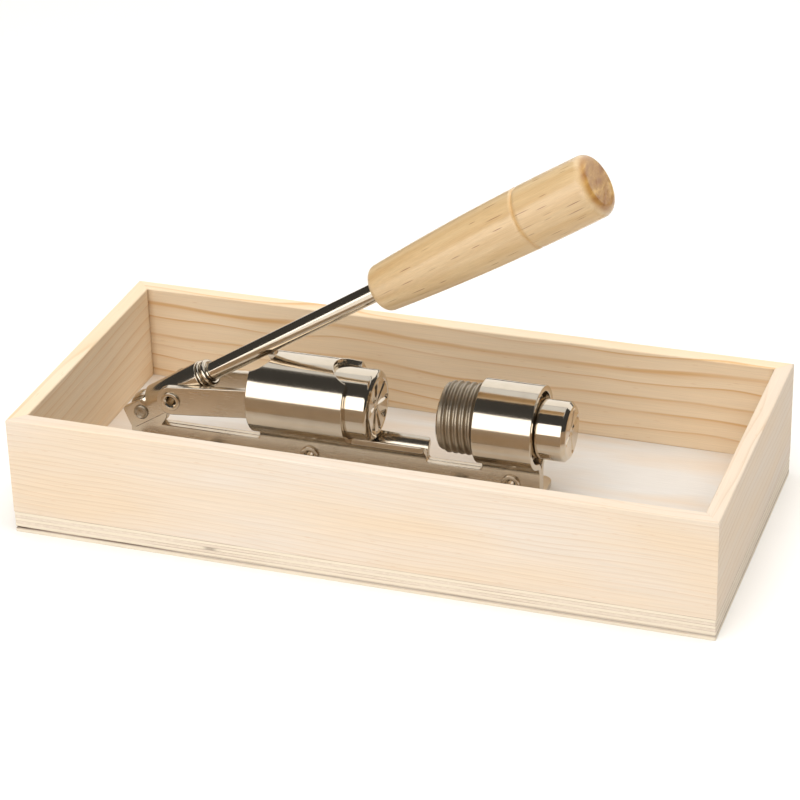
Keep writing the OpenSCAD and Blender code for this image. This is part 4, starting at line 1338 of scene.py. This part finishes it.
class AnvilOperator(bpy.types.Operator):
    """Anvil: a turned core with a star-cut face at both ends, and the screw thread wound round it"""
    bl_idname = "nutcracker.anvil"
    bl_label = "Anvil"

    def execute(self, context):
        metal = context.scene.nutcracker_metal
        jaw, end = ANVIL_LOW.x, ANVIL_HIGH.x
        shoulder = jaw + 45 * MM
        stem_r = 14.4 * MM
        root = SLIDE_R - metal.thread_depth
        core = root - 0.3 * MM
        rim = root - 1.6 * MM
        first = fillet([(jaw + 1.8 * MM, 0, 0), (jaw + 0.25 * MM, rim - 1.0 * MM, 0.5 * MM),
                        (jaw, rim, 0.5 * MM),
                        (jaw + 1.0 * MM, core, 0.7 * MM), (shoulder - 0.5 * MM, core, 0),
                        (shoulder, core - 0.6 * MM, 0.2 * MM),
                        (shoulder, stem_r + 0.3 * MM, 0.3 * MM), (shoulder + 0.5 * MM, stem_r, 0.3 * MM),
                        (end - 8 * MM, stem_r, 0)], 6, closed=False)
        last = fillet([(end - 8 * MM, stem_r, 0), (end - 2.0 * MM, stem_r, 0.5 * MM),
                       (end - 0.25 * MM, stem_r - 1.9 * MM, 0.5 * MM),
                       (end - 0.02 * MM, stem_r - 3.0 * MM, 0.4 * MM), (end - 0.9 * MM, 0, 0)], 7,
                      closed=False)
        profile = [first[0]] + face_steps(first[0], first[1], 20) + first[1:]
        profile += last[1:-1] + face_steps(last[-2], last[-1], 18) + [last[-1]]
        jaw_star = star_shape(jaw, -1, 1.6 * MM, rim - 0.3 * MM, metal.star_cuts, 1.6 * MM, 0.8 * MM, 7)
        end_star = star_shape(end, 1, 2.0 * MM, stem_r - 2.9 * MM, metal.star_cuts // 2, 1.3 * MM, 0.9 * MM,
                              2)

        def shape(along, radius, turn):
            return jaw_star(along, radius, turn) if along < shoulder else end_star(along, radius, turn)

        bm = bmesh.new()
        revolve(bm, profile, 320, AXIS_PLACE, shape=shape)
        body = make_object("anvil_core", bm)
        hand_over(body, "anvil", "nickel_bar", finish("nickel_polished_bar"), "anvil", crease=38)

        rough = finish("nickel_rough_thread")
        thread = make_object("anvil_thread", bmesh.new(), outward=False)
        run_tree(thread, thread_tree(), {
            "Start": jaw + 0.9 * MM, "Length": shoulder - jaw - 1.3 * MM, "Root": core + 0.02 * MM,
            "Depth": metal.thread_depth + 0.28 * MM, "Pitch": metal.thread_pitch, "Height": AXIS_Z,
            "Finish": rough})
        hand_over(thread, "anvil", "nickel_bar", rough, crease=60)
        return {"FINISHED"}


# ---- Operator: the stage ----

class StageOperator(bpy.types.Operator):
    """Pale floor, soft studio lights and the camera"""
    bl_idname = "nutcracker.stage"
    bl_label = "Stage, lights and camera"

    def execute(self, context):
        settings = context.scene.nutcracker_stage
        scene = context.scene
        scene.view_settings.view_transform = "Standard"
        self.floor(settings)
        self.lights(settings)
        self.camera(settings)
        return {"FINISHED"}

    @staticmethod
    def floor(settings):
        bm = bmesh.new()
        bmesh.ops.create_grid(bm, x_segments=2, y_segments=2, size=6)
        obj = make_object("studio_floor", bm, outward=False)
        for vert in obj.data.vertices:
            vert.co.z = -0.02 * MM
        material, tree, shader, place = start_material("studio_paper")
        cloud = add(tree, "ShaderNodeTexNoise", {"Vector": place, "Scale": 3.0, "Detail": 2.0})
        dark = list(settings.floor)
        light = [min(1, value * 1.02) for value in dark]
        pale = add(tree, "ShaderNodeValToRGB", {0: cloud}, stops=[(0.3, dark), (0.7, light)])
        feed(tree, shader, {"Base Color": pale, "Roughness": 0.9, "Specular IOR Level": 0.1})
        obj.data.materials.append(material)

    @staticmethod
    def lights(settings):
        world = bpy.data.worlds.new("studio_dusk")
        world.use_nodes = True
        background = world.node_tree.nodes["Background"]
        background.inputs["Color"].default_value = (1.0, 0.98, 0.95, 1)
        background.inputs["Strength"].default_value = 0.06
        bpy.context.scene.world = world
        aim = Vector((0, 0, 0.05))
        # name, place, width, height, power, lights matt surfaces, seen in reflections, colour
        lamps = [
            ("front_softbox", (-0.35, -1.7, 0.75), 2.6, 1.5, settings.key * 1.6, False, True,
             (1.0, 0.99, 0.975)),
            ("front_fill", (-0.34, -1.65, 0.73), 2.6, 1.5, settings.key, True, False, (1.0, 0.985, 0.96)),
            ("overhead_fill", (0.15, -0.42, 2.2), 2.6, 2.6, settings.top, True, False, (1.0, 0.985, 0.965)),
            ("back_panel", (0.1, 1.9, 1.1), 3.4, 1.9, settings.back, False, True, (1.0, 0.99, 0.97)),
            ("back_fill", (0.1, 1.84, 1.07), 3.4, 1.9, settings.back * 0.55, True, False, (1.0, 0.89, 0.75)),
            ("grey_canopy", (0.1, 0.5, 1.8), 3.0, 1.2, settings.canopy, True, True, (0.96, 0.98, 1.0)),
        ]
        for name, place, wide, high, power, lit, seen, tone in lamps:
            data = bpy.data.lights.new(name, "AREA")
            data.shape = "RECTANGLE"
            data.size, data.size_y = wide, high
            data.energy = power
            data.color = tone
            lamp = bpy.data.objects.new(name, data)
            lamp.location = place
            lamp.rotation_euler = (Vector(place) - aim).to_track_quat("Z", "Y").to_euler()
            lamp.visible_diffuse = lit
            lamp.visible_glossy = seen
            bpy.context.scene.collection.objects.link(lamp)

    @staticmethod
    def camera(settings):
        azimuth, elevation, roll = math.radians(19.364), math.radians(27.739), math.radians(-1.506)
        distance = 1.39905
        target = Vector((-0.0181, 0.04496, 0.02996))
        back = Vector((math.sin(azimuth) * math.cos(elevation), -math.cos(azimuth) * math.cos(elevation),
                       math.sin(elevation)))
        right = Vector((math.cos(azimuth), math.sin(azimuth), 0))
        up = back.cross(right)
        rolled = Matrix.Rotation(roll, 3, back)
        right, up = rolled @ right, rolled @ up
        data = bpy.data.cameras.new("camera")
        data.sensor_width = 36
        data.lens = settings.lens
        data.clip_start, data.clip_end = 0.01, 50
        camera = bpy.data.objects.new("camera", data)
        turn = Matrix((right, up, back)).transposed().to_4x4()
        camera.matrix_world = Matrix.Translation(target + back * distance) @ turn
        bpy.context.scene.collection.objects.link(camera)
        bpy.context.scene.camera = camera


OPERATORS = (BoardsOperator, PlywoodOperator, BracketOperator, WebRivetsOperator, FootScrewsOperator,
             YokeOperator,
             RodOperator, HandleOperator, PivotOperator, LinksOperator, PlungerOperator, WristOperator,
             AnvilOperator,
             StageOperator)


class NutcrackerPanel(bpy.types.Panel):
    """Lists the pieces of the nutcracker and their settings"""
    bl_idname = "VIEW3D_PT_nutcracker"
    bl_label = "Lever nutcracker"
    bl_space_type = "VIEW_3D"
    bl_region_type = "UI"
    bl_category = "Nutcracker"

    def draw(self, context):
        for group in GROUPS:
            box = self.layout.box()
            settings = getattr(context.scene, group)
            for key in settings.__annotations__:
                box.prop(settings, key)
        for operator in OPERATORS:
            self.layout.operator(operator.bl_idname)


GROUPS = {"nutcracker_tray": TraySettings, "nutcracker_metal": MetalSettings,
          "nutcracker_handle": HandleSettings, "nutcracker_stage": StageSettings}


def register():
    for cls in (*GROUPS.values(), *OPERATORS, NutcrackerPanel):
        bpy.utils.register_class(cls)
    for name, group in GROUPS.items():
        setattr(bpy.types.Scene, name, bpy.props.PointerProperty(type=group))


def unregister():
    for name in GROUPS:
        delattr(bpy.types.Scene, name)
    for cls in reversed((*GROUPS.values(), *OPERATORS, NutcrackerPanel)):
        bpy.utils.unregister_class(cls)


def main():
    register()
    for operator in OPERATORS:
        group, name = operator.bl_idname.split(".")
        getattr(getattr(bpy.ops, group), name)()


if __name__ == "__main__":
    main()
